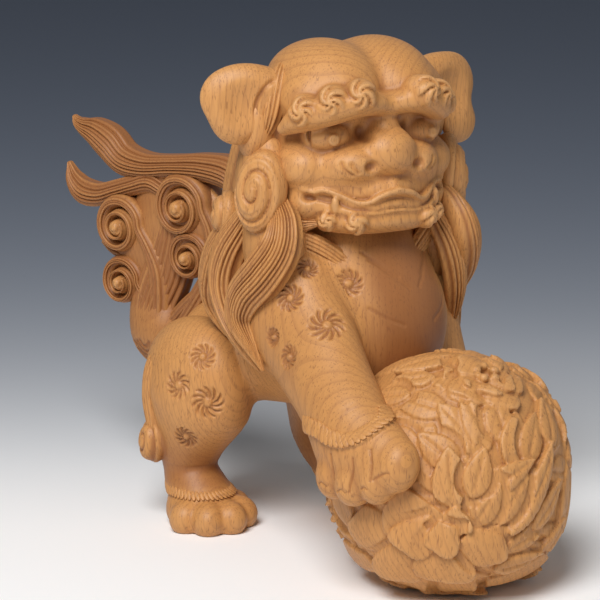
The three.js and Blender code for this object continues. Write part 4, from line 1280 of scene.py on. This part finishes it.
def nape_carving():
    """The hood of hair over the back of the head and neck, in locks that end in curls."""
    clay = Clay((-44, -60, -96), (44, 8, 10), grid_step(FACE_GRID))
    clay.press(Egg((0, -18, -30), (31, 24, 38)), 0.0)
    locks = ((0, 0.0, 8), (-14, 0.35, 7), (14, 0.35, 7), (-27, 0.8, 6.5), (27, 0.8, 6.5))
    skins = []
    for i, (s, lean, width) in enumerate(locks):
        out = (lean * np.sign(s), -1, 0.1)
        near = 0.4 * abs(s)
        drop = near - 88
        path = [(s * 0.55, near - 22, 10, width * 0.6, 4), (s * 0.8, near - 37, -8, width, 6),
                (s * 0.95, near - 45, -32, width, 6), (s, near - 46, -56, width, 6),
                (s * 1.02, near - 43, drop + 12, width * 0.8, 5), (s * 1.02, near - 42, drop, 0.8, 0.8)]
        skins.append(Lock(path, out, 7, 1.3, 20 + i).skin())
        knob = (s * 1.02, near - 46, drop + 11)
        radii = (width * 0.95, width * 0.95, 7)
        hand = LEFT if s >= 0 else RIGHT
        clay.press(Swirl(knob, out, (0, 0, 1), radii, 2.4, hand, 1.3), 0.8)
    return merged([clay.skin()] + skins).turned(head_axes(), HEAD_PLACE)


def ear_carving(s):
    """A broad drooping leaf of an ear with a hollow front; the left one hangs lower."""
    low, high = ((-62, -22, -32), (-20, 18, 20)) if s < 0 else ((20, -22, -32), (64, 18, 20))
    clay = Clay(low, high, grid_step(EAR_GRID))
    add = clay.press
    face = unit((s * 0.35, 0.93, 0.1))
    side_way = unit(np.cross((0, 0, 1), face))
    axes = [side_way, np.cross(face, side_way), face]
    droop = 0.0 if s < 0 else 6.0
    add(Egg((s * (44.5 + 0.4 * droop), -2, 3.5), (13.2, 11.5, 4.6), axes), 4.0)
    add(Egg((s * (44 + 1.1 * droop), -2, -5 - droop), (9.5, 8.5, 4.2), axes), 4.0)
    add(Egg((s * 38, -1, 8), (11, 7, 5), axes), 4.0)
    add(Egg((s * 31, -1, 5), (6, 8, 7)), 4.0)
    clay.carve(Egg((s * 45, 6.8, 0), (10, 10.5, 5.6), axes), 2.5)
    skin = clay.skin()
    fold = sided(s, [(34, 6, 10), (38, 5, 6), (40, 4, 0), (39, 4, -5)])
    skin.cut(strokes_depth(skin, [fold], 1.2, 1.0))
    return skin.turned(head_axes(), HEAD_PLACE)


# Tail: its own axes are side, back and up from its bend

TAIL_PLACE = (-3.0, 92.0, 70.0)
TAIL_TURN = 10.0
# The way that the plume's broad side faces
ACROSS = (1, 0, 0)


def tail_axes():
    """The tail's side, back and up directions on the drawing."""
    s, c = math.sin(math.radians(TAIL_TURN)), math.cos(math.radians(TAIL_TURN))
    return [(c, s, 0.0), (-s, c, 0.0), (0.0, 0.0, 1.0)]


# Flames of the plume: rows of back, up, half width and half thickness, and the strands of each
FLAMES = [
    ([(-44, 55, 6, 6), (-36, 62, 7.5, 7), (-23, 63.5, 6.5, 7), (-7, 62.5, 5.5, 7), (8, 61.2, 6.2, 6.8),
      (20, 63, 7.8, 6.4), (28, 68.6, 8.6, 6), (36, 72.4, 7.0, 5.2), (42.5, 74, 4.4, 4.2),
      (46.5, 75.6, 2.8, 3), (48.4, 77.6, 1.2, 1.6)], 9),
    ([(-3, 52, 5, 6), (5, 55, 5.5, 6.5), (14, 53, 5, 6.5), (24, 50, 5, 6), (34, 46.8, 5.6, 5.5),
      (43.5, 47.2, 6.2, 5), (49.2, 51.8, 4.6, 4), (51.8, 58, 1.2, 1.8)], 7),
    ([(8, 22, 5, 5), (20, 24, 4.5, 4.5), (28, 25.5, 3.2, 3.4), (33.8, 27, 0.8, 1.2)], 4),
]


def flame(rows, strands, seed):
    """A lock of the plume that shows on both its sides."""
    return Lock([(0, *row) for row in rows], ACROSS, strands, 1.2, seed, True).skin()


def volute(root, back, up, size, thick, seed):
    """A band that leaves the stem and winds into a scroll, seen from both sides of the plume."""
    knots = [(0, b, h, w, thick) for b, h, w in root]
    for turned in np.linspace(0.0, 2.1, 31):
        angle = math.radians(180.0 - 360.0 * turned)
        shrink = math.exp(-0.62 * max(0.0, turned - 0.35))
        reach = 0.8 * size * shrink
        knots.append((0, back + reach * math.cos(angle), up + reach * math.sin(angle), 0.25 * size * shrink,
                      thick + 0.9 * turned))
    return Lock(knots, ACROSS, 5, 1.1, seed, True, 1.15).skin()


# Scrolls of the plume: middle (back, up), size, half thickness and the band's way up the stem
SCROLLS = [
    (-13.0, 46.6, 14.2, 8.0, ((-8, -6, 5), (-19, 8, 6), (-29, 24, 6), (-28, 38, 4.4))),
    (19.4, 35.6, 13.2, 8.4, ((2, -10, 6), (0, 4, 6.5), (0, 18, 6), (4, 28, 4.2))),
    (-17.0, 27.0, 11.2, 7.6, ((-3, -6, 5), (-13, 5, 5), (-24, 16, 4.2))),
    (18.6, 12.8, 11.4, 8.0, ((9, -12, 5), (5, -3, 5), (5, 6, 3.8))),
]


def tail_carving():
    """A stem that rises into a plume of flames and scrolls."""
    clay = Clay((-16, -50, -24), (16, 40, 68), grid_step(TAIL_GRID))
    add = clay.press
    add(Egg((0, -8, 40), (5.5, 25, 20)), 0.0)
    add(Egg((0, 10, 26), (5.5, 16, 18)), 4.0)
    bend = [(0, -30, -4, 11, 11), (0, -12, -9, 12, 11), (0, 2, -6, 14, 11), (0, 6, 8, 12, 7)]
    add(Limb(bend, ACROSS), 3.0)
    stem = [(0, -6, -13, 7, 9.5), (0, 3, -6, 11.5, 9.8), (0, 4, 8, 13, 8.6), (0, -1, 22, 14, 7),
            (0, -6, 36, 12, 6.4), (0, -6, 48, 5, 5.6)]
    skins = [Lock(stem, ACROSS, 11, 1.5, 5, True).skin()]
    skins += [flame(rows, strands, seed) for seed, (rows, strands) in enumerate(FLAMES, 1)]
    for i, (b, h, size, thick, root) in enumerate(SCROLLS):
        add(Egg((0, b, h), (5, 0.8 * size, 0.8 * size)), 1.0)
        skins.append(volute(root, b, h, size, thick, 30 + i))
        radii = (0.3 * size, 0.3 * size, 5.5)
        for face in (-1, 1):
            add(Swirl((face * 5.5, b, h), (face, 0, 0), (0, 0, 1), radii, 1.5, -face, 0.7, 2), 0.4)
    skin = clay.skin()
    arcs = []
    for face in (-1, 1):
        for k in range(4):
            reach = 3.0 + 2.6 * k
            arcs.append([(face * 11, 3 + reach * math.cos(a), -8 + reach * math.sin(a))
                         for a in np.radians(np.linspace(200, 340, 7))])
    skin.cut(strokes_depth(skin, arcs, 1.1, 0.9))
    plume = merged([skin] + skins)
    # Painted shade over the whole tail
    plume.shade_and_wear += TAIL_SHADE
    return plume.turned(tail_axes(), TAIL_PLACE)


# Cuffs of hair tufts round the wrist and ankles


def cuff_group():
    """Geometry group: tufts of hair laid side by side along a path, leaning one way."""
    group, start, end = new_group(
        "cuff_tufts", "GeometryNodeTree",
        [("Path", "Geometry", None), ("Tufts", "Int", 20), ("Length", "Float", 0.004),
         ("Width", "Float", 0.0012), ("Lean", "Float", 0.6), ("Wood", "Material", None)],
        [("Cuff", "Geometry", None)])
    given = start.outputs
    path = node(group, "GeometryNodeMeshToCurve", (-700, 100), {"Mesh": given["Path"]})
    even = node(group, "GeometryNodeResampleCurve", (-500, 100),
                {"Curve": path.outputs["Curve"], "Count": given["Tufts"]})
    tuft = node(group, "GeometryNodeMeshUVSphere", (-500, -200),
                {"Segments": 14, "Rings": 10, "Radius": 1.0})
    outward = node(group, "GeometryNodeInputNamedAttribute", (-700, -450), {"Name": "outward"},
                   data_type="FLOAT_VECTOR")
    tangent = node(group, "GeometryNodeInputTangent", (-700, -600))
    stand = node(group, "FunctionNodeAlignRotationToVector", (-450, -450),
                 {"Vector": outward.outputs["Attribute"]}, axis="Z", pivot_axis="AUTO")
    follow = node(group, "FunctionNodeAlignRotationToVector", (-250, -450),
                  {"Rotation": stand.outputs["Rotation"], "Vector": tangent.outputs["Tangent"]},
                  axis="X", pivot_axis="Z")
    lean = node(group, "FunctionNodeAxisAngleToRotation", (-250, -650),
                {"Axis": (0.0, 0.0, 1.0), "Angle": given["Lean"]})
    turn = node(group, "FunctionNodeRotateRotation", (-50, -450),
                {"Rotation": follow.outputs["Rotation"], "Rotate By": lean.outputs["Rotation"]},
                rotation_space="LOCAL")
    flat = node(group, "ShaderNodeMath", (-450, -300), {0: given["Width"], 1: 0.42}, operation="MULTIPLY")
    size = node(group, "ShaderNodeCombineXYZ", (-250, -250),
                {"X": given["Width"], "Y": given["Length"], "Z": flat.outputs[0]})
    lay = node(group, "GeometryNodeInstanceOnPoints", (200, 0),
               {"Points": even.outputs["Curve"], "Instance": tuft.outputs["Mesh"],
                "Rotation": turn.outputs["Rotation"], "Scale": size.outputs["Vector"]})
    real = node(group, "GeometryNodeRealizeInstances", (400, 0), {"Geometry": lay.outputs["Instances"]})
    soft = node(group, "GeometryNodeSetShadeSmooth", (550, 0), {"Geometry": real.outputs["Geometry"]})
    paint = node(group, "GeometryNodeSetMaterial", (700, 0),
                 {"Geometry": soft.outputs["Geometry"], "Material": given["Wood"]})
    group.links.new(paint.outputs["Geometry"], end.inputs["Cuff"])
    return group


def cuff_piece(context, leg, path, tufts, lean, size):
    """One cuff: the group run on a path laid onto a leg, kept as a plain mesh."""
    carving = context.scene.lion_carving
    name = "cuff_" + leg
    ground = bpy.data.objects["carved_" + leg]
    places, outward = [], []
    for place in (np.asarray(path) + drawing_shift()) / 1000.0:
        found, spot, normal, _ = ground.closest_point_on_mesh(place)
        if not found:
            raise RuntimeError("The cuff's path is off the leg: " + leg)
        places.append(tuple(spot))
        outward.append(tuple(normal))
    mesh = bpy.data.meshes.new(name + "_path")
    mesh.from_pydata(places, [(i, i + 1) for i in range(len(places) - 1)], [])
    away = mesh.attributes.new("outward", "FLOAT_VECTOR", "POINT")
    away.data.foreach_set("vector", np.asarray(outward, np.float32).ravel())
    guide = bpy.data.objects.new(name + "_guide", mesh)
    context.scene.collection.objects.link(guide)
    group = bpy.data.node_groups.get("cuff_tufts") or cuff_group()
    tool = guide.modifiers.new("cuff", "NODES")
    tool.node_group = group
    wanted = {"Tufts": tufts, "Length": size * carving.tuft_length, "Width": size * carving.tuft_width,
              "Lean": lean, "Wood": carved_wood(context)}
    for item in group.interface.items_tree:
        if item.item_type == "SOCKET" and item.in_out == "INPUT" and item.name in wanted:
            tool[item.identifier] = wanted[item.name]
    context.view_layer.update()
    graph = context.evaluated_depsgraph_get()
    made = bpy.data.meshes.new_from_object(guide.evaluated_get(graph), depsgraph=graph)
    made.name = name
    bpy.data.objects.remove(guide)
    bpy.data.meshes.remove(mesh)
    placed(context, name, made, np.full(len(made.vertices), CUFF_TONE), leg)


# Settings


class LionWoodSettings(bpy.types.PropertyGroup):
    """Colours and finish of the wood."""

    early_wood: FloatVectorProperty(
        name="Early Wood", description="Colour of the pale growth", subtype="COLOR", size=3,
        min=0.0, max=1.0, default=(0.58, 0.285, 0.095))
    warm_wood: FloatVectorProperty(
        name="Warm Wood", description="Colour of the warmer patches", subtype="COLOR", size=3,
        min=0.0, max=1.0, default=(0.52, 0.235, 0.068))
    late_wood: FloatVectorProperty(
        name="Late Wood", description="Colour of the growth lines", subtype="COLOR", size=3,
        min=0.0, max=1.0, default=(0.36, 0.155, 0.055))
    pore: FloatVectorProperty(
        name="Pores", description="Colour of the pores", subtype="COLOR", size=3,
        min=0.0, max=1.0, default=(0.2, 0.075, 0.028))
    # Painted shade in the cuts and sheltered parts, with the oil gathered in the cuts
    hollow: FloatVectorProperty(
        name="Hollows", description="Colour of oil gathered in the cuts", subtype="COLOR", size=3,
        min=0.0, max=1.0, default=(0.27, 0.098, 0.03))
    rubbed: FloatVectorProperty(
        name="Rubbed Ridges", description="Colour of ridges rubbed pale", subtype="COLOR", size=3,
        min=0.0, max=1.0, default=(0.66, 0.39, 0.18))
    ring_spacing: FloatProperty(
        name="Ring Spacing", description="Distance between growth lines", unit="LENGTH",
        min=0.0003, default=0.0021)
    ring_contrast: FloatProperty(
        name="Ring Contrast", description="Strength of the growth lines", subtype="FACTOR",
        min=0.0, max=1.0, default=0.42)
    pore_width: FloatProperty(
        name="Pore Width", description="Width of a pore", unit="LENGTH", min=0.0001, default=0.00048)
    gloss_roughness: FloatProperty(
        name="Roughness", description="Roughness of the oiled surface", subtype="FACTOR",
        min=0.0, max=1.0, default=0.48)


class LionCarvingSettings(bpy.types.PropertyGroup):
    """Sizes of the carved ornament."""

    rosette_strokes: IntProperty(
        name="Rosette Strokes", description="Gouge strokes in one rosette", min=3, default=11)
    rosette_cut: FloatProperty(
        name="Rosette Cut", description="Depth of a rosette's strokes", unit="LENGTH",
        min=0.0, default=0.0012)
    leaf_lift: FloatProperty(
        name="Leaf Lift", description="Relief of the leaves on the ball", unit="LENGTH",
        min=0.0, default=0.0028)
    tuft_length: FloatProperty(
        name="Tuft Length", description="Half length of a tuft in a cuff", unit="LENGTH",
        min=0.0005, default=0.0028)
    tuft_width: FloatProperty(
        name="Tuft Width", description="Half width of a tuft in a cuff", unit="LENGTH",
        min=0.0003, default=0.0011)


class LionStageSettings(bpy.types.PropertyGroup):
    """Floor, light and camera."""

    floor_colour: FloatVectorProperty(
        name="Floor", description="Colour of the floor round the figure", subtype="COLOR", size=3,
        min=0.0, max=1.0, default=(0.96, 0.96, 0.96))
    far_colour: FloatVectorProperty(
        name="Far Floor", description="Colour of the floor and backdrop far off", subtype="COLOR", size=3,
        min=0.0, max=1.0, default=(0.17, 0.2, 0.26))
    key_power: FloatProperty(name="Key Light", description="Power of the main light", min=0.0, default=23.5)
    fill_power: FloatProperty(name="Fill Light", description="Power of the fill light", min=0.0, default=0.8)
    sky_strength: FloatProperty(name="Room Light", description="Strength of the room's light", min=0.0,
                                default=0.17)
    azimuth: FloatProperty(name="Azimuth", description="Camera's turn round the figure", subtype="ANGLE",
                           default=math.radians(-42.0))
    elevation: FloatProperty(name="Elevation", description="Camera's height angle", subtype="ANGLE",
                             default=math.radians(12.0))
    distance: FloatProperty(name="Distance", description="Camera's distance", unit="LENGTH", min=0.1,
                            default=0.9)


# Operators


class LION_OT_trunk(bpy.types.Operator):
    """Carve the trunk"""

    bl_idname = "lion.trunk"
    bl_label = "Trunk"

    def execute(self, context):
        skin = body_carving("trunk", (-40, -54, 40), (40, 80, 134), grid_step(TRUNK_GRID)).skin()
        # Painted shade in the rosettes' cuts
        skin.cut(rosette_cuts(skin, "trunk", context.scene.lion_carving), ROSETTE_SHADE)
        # Painted shade of the head's shadow on the middle of the breast
        middle = 1.0 - soft_step(np.abs(skin.points[:, 0]), 10.0, 25.0)
        skin.shade_and_wear += BREAST_SHADE * middle * soft_step(-skin.points[:, 1], 26.0, 44.0)
        lines = [np.array(path) * (s, 1, 1) for path in BREAST_CUTS for s in (1, -1)]
        skin.cut(strokes_depth(skin, lines, 0.9, 0.4))
        mesh_piece(context, "carved_trunk", skin, "trunk")
        return {"FINISHED"}


class LION_OT_legs(bpy.types.Operator):
    """Carve the four legs with their rosettes"""

    bl_idname = "lion.legs"
    bl_label = "Legs"

    def execute(self, context):
        for name, (low, high) in LEG_BOXES.items():
            skin = body_carving(name, low, high, grid_step(LEG_GRID)).skin()
            # Painted shade in the rosettes' cuts
            skin.cut(rosette_cuts(skin, name, context.scene.lion_carving), ROSETTE_SHADE)
            if name == "foreleg_right":
                # Painted shade over the whole raised foreleg
                skin.shade_and_wear += ARM_SHADE
                skin.cut(flap_depth(skin, WRIST_PATH, WRIST_WAY, FLAP_LIFT), 0.0)
                skin.cut(strokes_depth(skin, [paw_path(rows) for rows in PAW_CUTS], 0.7, 0.7))
            else:
                height = skin.points[:, 2]
                flap = soft_step(height, ANKLE - 0.25, ANKLE + 0.25)
                flap = flap * (1.0 - soft_step(height, ANKLE + 3, ANKLE + 12))
                skin.cut(-FLAP_LIFT * flap, 0.0)
            if name in HINDS:
                # Painted shade from the thigh's shadow on the shank
                height = skin.points[:, 2]
                shank = soft_step(-height, -48.0, -24.0) * soft_step(height, 12.0, 18.0)
                skin.shade_and_wear += SHANK_SHADE * shank
                skin = merged([skin, hind_lock(*HINDS[name])])
            mesh_piece(context, "carved_" + name, skin, name)
        return {"FINISHED"}


class LION_OT_cuffs(bpy.types.Operator):
    """Lay cuffs of hair tufts round the wrist and ankles"""

    bl_idname = "lion.cuffs"
    bl_label = "Cuffs"

    def execute(self, context):
        feet = {
            "hindleg_right": (-HIND_STANCE, RIGHT_HIND["foot"]),
            "hindleg_left": (HIND_STANCE, LEFT_HIND["foot"]),
            "foreleg_left": (FORE_STANCE, FORE_FOOT_Y),
        }
        for name, (x, y) in feet.items():
            path = self.ring(name, np.array((x, y + 5.0, ANKLE + 1.3)))
            cuff_piece(context, name, path, tufts=50, lean=0.4, size=0.8)
        path = smooth_rows(WRIST_PATH, 1.0)
        along = unit(np.gradient(path, axis=0))
        away = unit(WRIST_WAY - along * (along @ WRIST_WAY)[:, None])
        cuff_piece(context, "foreleg_right", path + 2.6 * away, tufts=25, lean=0.6, size=1.3)
        return {"FINISHED"}

    def ring(self, leg, middle):
        """The line round a foot a little above the edge of its hair."""
        mesh = bpy.data.objects["carved_" + leg].data
        points = np.empty(3 * len(mesh.vertices), np.float32)
        mesh.vertices.foreach_get("co", points)
        points = points.reshape(-1, 3) * 1000.0 - drawing_shift() - middle
        points = points[(np.abs(points[:, 2]) < 2.5) & (np.hypot(points[:, 0], points[:, 1]) < 22.0)]
        sector = np.floor(np.arctan2(points[:, 1], points[:, 0]) * 18 / np.pi)
        rows = []
        for mark in np.unique(sector):
            near = points[sector == mark]
            rows.append(near[np.argmin(np.abs(near[:, 2]))])
        return np.array(rows + rows[:1]) + middle


class LION_OT_ball(bpy.types.Operator):
    """Carve the peony ball"""

    bl_idname = "lion.ball"
    bl_label = "Ball"

    def execute(self, context):
        skin = ball_carving(context.scene.lion_carving).skin()
        # Weaker painted shade in the ball's hollows
        skin.shade_and_wear *= BALL_SHADE
        below = np.clip((BALL_PLACE[2] - skin.points[:, 2]) / BALL_CORE, 0.0, 0.97)
        fuller = (1.0 - below ** FULLNESS) ** (1 / FULLNESS) / np.sqrt(1.0 - below ** 2)
        skin.points[:, :2] = BALL_PLACE[:2] + (skin.points[:, :2] - BALL_PLACE[:2]) * fuller[:, None]
        mesh_piece(context, "carved_ball", skin, "ball")
        return {"FINISHED"}


class LION_OT_head(bpy.types.Operator):
    """Carve the head, its mane and the ears"""

    bl_idname = "lion.head"
    bl_label = "Head"

    def execute(self, context):
        sides = ((RIGHT, "right"), (LEFT, "left"))
        mesh_piece(context, "carved_face", head_carving(), "head")
        for s, side in sides:
            mesh_piece(context, "mane_" + side, mane_carving(s), "head")
        mesh_piece(context, "mane_nape", nape_carving(), "head")
        for s, side in sides:
            mesh_piece(context, "carved_ear_" + side, ear_carving(s), "ear_" + side)
        return {"FINISHED"}


class LION_OT_tail(bpy.types.Operator):
    """Carve the tail"""

    bl_idname = "lion.tail"
    bl_label = "Tail"

    def execute(self, context):
        mesh_piece(context, "carved_tail", tail_carving(), "tail")
        return {"FINISHED"}


class LION_OT_dowels(bpy.types.Operator):
    """Give the dowels inside the joints their wood"""

    bl_idname = "lion.dowels"
    bl_label = "Dowels"

    def execute(self, context):
        wood = wood_material("dowel_wood", context.scene.lion_wood, False)
        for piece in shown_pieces():
            if "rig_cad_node" in piece and "dowel" in piece["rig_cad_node"]:
                if piece.data.materials:
                    for i in range(len(piece.data.materials)):
                        piece.data.materials[i] = wood
                else:
                    piece.data.materials.append(wood)
        return {"FINISHED"}


class LION_OT_stage(bpy.types.Operator):
    """Set the floor, the lights and the camera"""

    bl_idname = "lion.stage"
    bl_label = "Stage"

    def execute(self, context):
        scene = context.scene
        stage = scene.lion_stage
        scene.view_settings.view_transform = "Standard"
        middle = (np.array(LOOK_AT) + drawing_shift()) / 1000.0
        self.floor(context, stage, middle)
        self.lamp(context, "key_light", KEY_WAY, stage.key_power, middle)
        self.lamp(context, "fill_light", FILL_WAY, stage.fill_power, middle)
        self.room(scene, stage)
        level = math.cos(stage.elevation)
        back = np.array((math.sin(stage.azimuth) * level, -math.cos(stage.azimuth) * level,
                         math.sin(stage.elevation)))
        camera = bpy.data.cameras.new("photo_camera")
        camera.lens = 144.72
        camera.sensor_width = 36.0
        camera.clip_start = 0.05
        camera.clip_end = 50.0
        scene.camera = self.aimed(context, camera, middle + back * stage.distance, middle)
        return {"FINISHED"}

    def aimed(self, context, data, place, target):
        """A lamp or camera at a place, looking at a target."""
        holder = bpy.data.objects.new(data.name, data)
        context.scene.collection.objects.link(holder)
        holder.location = place
        holder.rotation_mode = "QUATERNION"
        holder.rotation_quaternion = (Vector(target) - Vector(place)).to_track_quat("-Z", "Y")
        return holder

    def lamp(self, context, name, way, power, middle):
        """A round lamp that stands off from the middle by a way."""
        light = bpy.data.lights.new(name, "AREA")
        light.shape = "DISK"
        light.size = LAMP_SIZE
        light.energy = power
        self.aimed(context, light, middle + np.array(way), middle)

    def floor(self, context, stage, middle):
        """A round floor that grades to the far colour away from the viewer."""
        bpy.ops.mesh.primitive_circle_add(vertices=96, radius=8.0, fill_type="NGON",
                                          location=(middle[0], middle[1], -0.0001))
        floor = context.object
        floor.name = "studio_floor"
        material = bpy.data.materials.new("graded_paper")
        material.use_nodes = True
        tree = material.node_tree

        def maths(spot, operation, one, two):
            return node(tree, "ShaderNodeMath", (spot, 0), {0: one, 1: two}, operation=operation).outputs[0]

        place = node(tree, "ShaderNodeTexCoord", (-900, 0))
        away = (-math.sin(stage.azimuth) / GRADE_LENGTH, math.cos(stage.azimuth) / GRADE_LENGTH, 0.0)
        run = node(tree, "ShaderNodeVectorMath", (-750, 0), {0: place.outputs["Object"], 1: away},
                   operation="DOT_PRODUCT")
        square = maths(-500, "POWER", maths(-600, "MAXIMUM", run.outputs["Value"], 0.0), 2.0)
        share = maths(-300, "DIVIDE", square, maths(-400, "ADD", square, 1.0))
        blend = node(tree, "ShaderNodeMix", (-200, 0),
                     {"A": rgba(stage.floor_colour), "B": rgba(stage.far_colour), "Factor": share},
                     data_type="RGBA")
        shader = tree.nodes["Principled BSDF"]
        shader.inputs["Roughness"].default_value = 0.9
        shader.inputs["Specular IOR Level"].default_value = 0.1
        tree.links.new(blend.outputs["Result"], shader.inputs["Base Color"])
        floor.data.materials.append(material)
        floor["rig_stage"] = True

    def room(self, scene, stage):
        """Even light from all round; the camera and reflections see the far colour in its place."""
        world = bpy.data.worlds.new("studio_room")
        scene.world = world
        world.use_nodes = True
        tree = world.node_tree
        tree.nodes.clear()
        light = node(tree, "ShaderNodeBackground", (0, 100),
                     {"Color": (1.0, 1.0, 1.0, 1.0), "Strength": stage.sky_strength})
        seen = node(tree, "ShaderNodeBackground", (0, -100), {"Color": rgba(stage.far_colour)})
        ray = node(tree, "ShaderNodeLightPath", (-300, 400)).outputs
        glossy = node(tree, "ShaderNodeMath", (-100, 400),
                      {0: ray["Is Camera Ray"], 1: ray["Is Glossy Ray"]}, operation="ADD")
        shown = node(tree, "ShaderNodeMath", (100, 400),
                     {0: glossy.outputs[0], 1: ray["Is Transmission Ray"]}, operation="ADD", use_clamp=True)
        pick = node(tree, "ShaderNodeMixShader", (300, 0),
                    {"Fac": shown.outputs[0], 1: light.outputs["Background"], 2: seen.outputs["Background"]})
        node(tree, "ShaderNodeOutputWorld", (600, 0), {"Surface": pick.outputs["Shader"]})


class LION_PT_panel(bpy.types.Panel):
    """The lion's pieces and settings"""

    bl_idname = "LION_PT_panel"
    bl_label = "Carved Lion"
    bl_space_type = "VIEW_3D"
    bl_region_type = "UI"
    bl_category = "Lion"

    def draw(self, context):
        layout = self.layout
        for step in STEPS:
            layout.operator(step.bl_idname)
        for settings in (context.scene.lion_wood, context.scene.lion_carving, context.scene.lion_stage):
            column = layout.column()
            for name in settings.__annotations__:
                column.prop(settings, name)


STEPS = (LION_OT_trunk, LION_OT_legs, LION_OT_cuffs, LION_OT_ball, LION_OT_head, LION_OT_tail,
         LION_OT_dowels, LION_OT_stage)
SETTINGS = (LionWoodSettings, LionCarvingSettings, LionStageSettings)
CLASSES = SETTINGS + STEPS + (LION_PT_panel,)


def register():
    """Register the classes and hang the settings on the scene."""
    for item in CLASSES:
        bpy.utils.register_class(item)
    bpy.types.Scene.lion_wood = PointerProperty(type=LionWoodSettings)
    bpy.types.Scene.lion_carving = PointerProperty(type=LionCarvingSettings)
    bpy.types.Scene.lion_stage = PointerProperty(type=LionStageSettings)


def unregister():
    """Take the settings off the scene and unregister the classes."""
    del bpy.types.Scene.lion_stage
    del bpy.types.Scene.lion_carving
    del bpy.types.Scene.lion_wood
    for item in reversed(CLASSES):
        bpy.utils.unregister_class(item)


def main():
    """Dress the figure piece by piece."""
    register()
    bpy.ops.lion.trunk()
    bpy.ops.lion.legs()
    bpy.ops.lion.cuffs()
    bpy.ops.lion.ball()
    bpy.ops.lion.head()
    bpy.ops.lion.tail()
    bpy.ops.lion.dowels()
    bpy.ops.lion.stage()


if __name__ == "__main__":
    main()
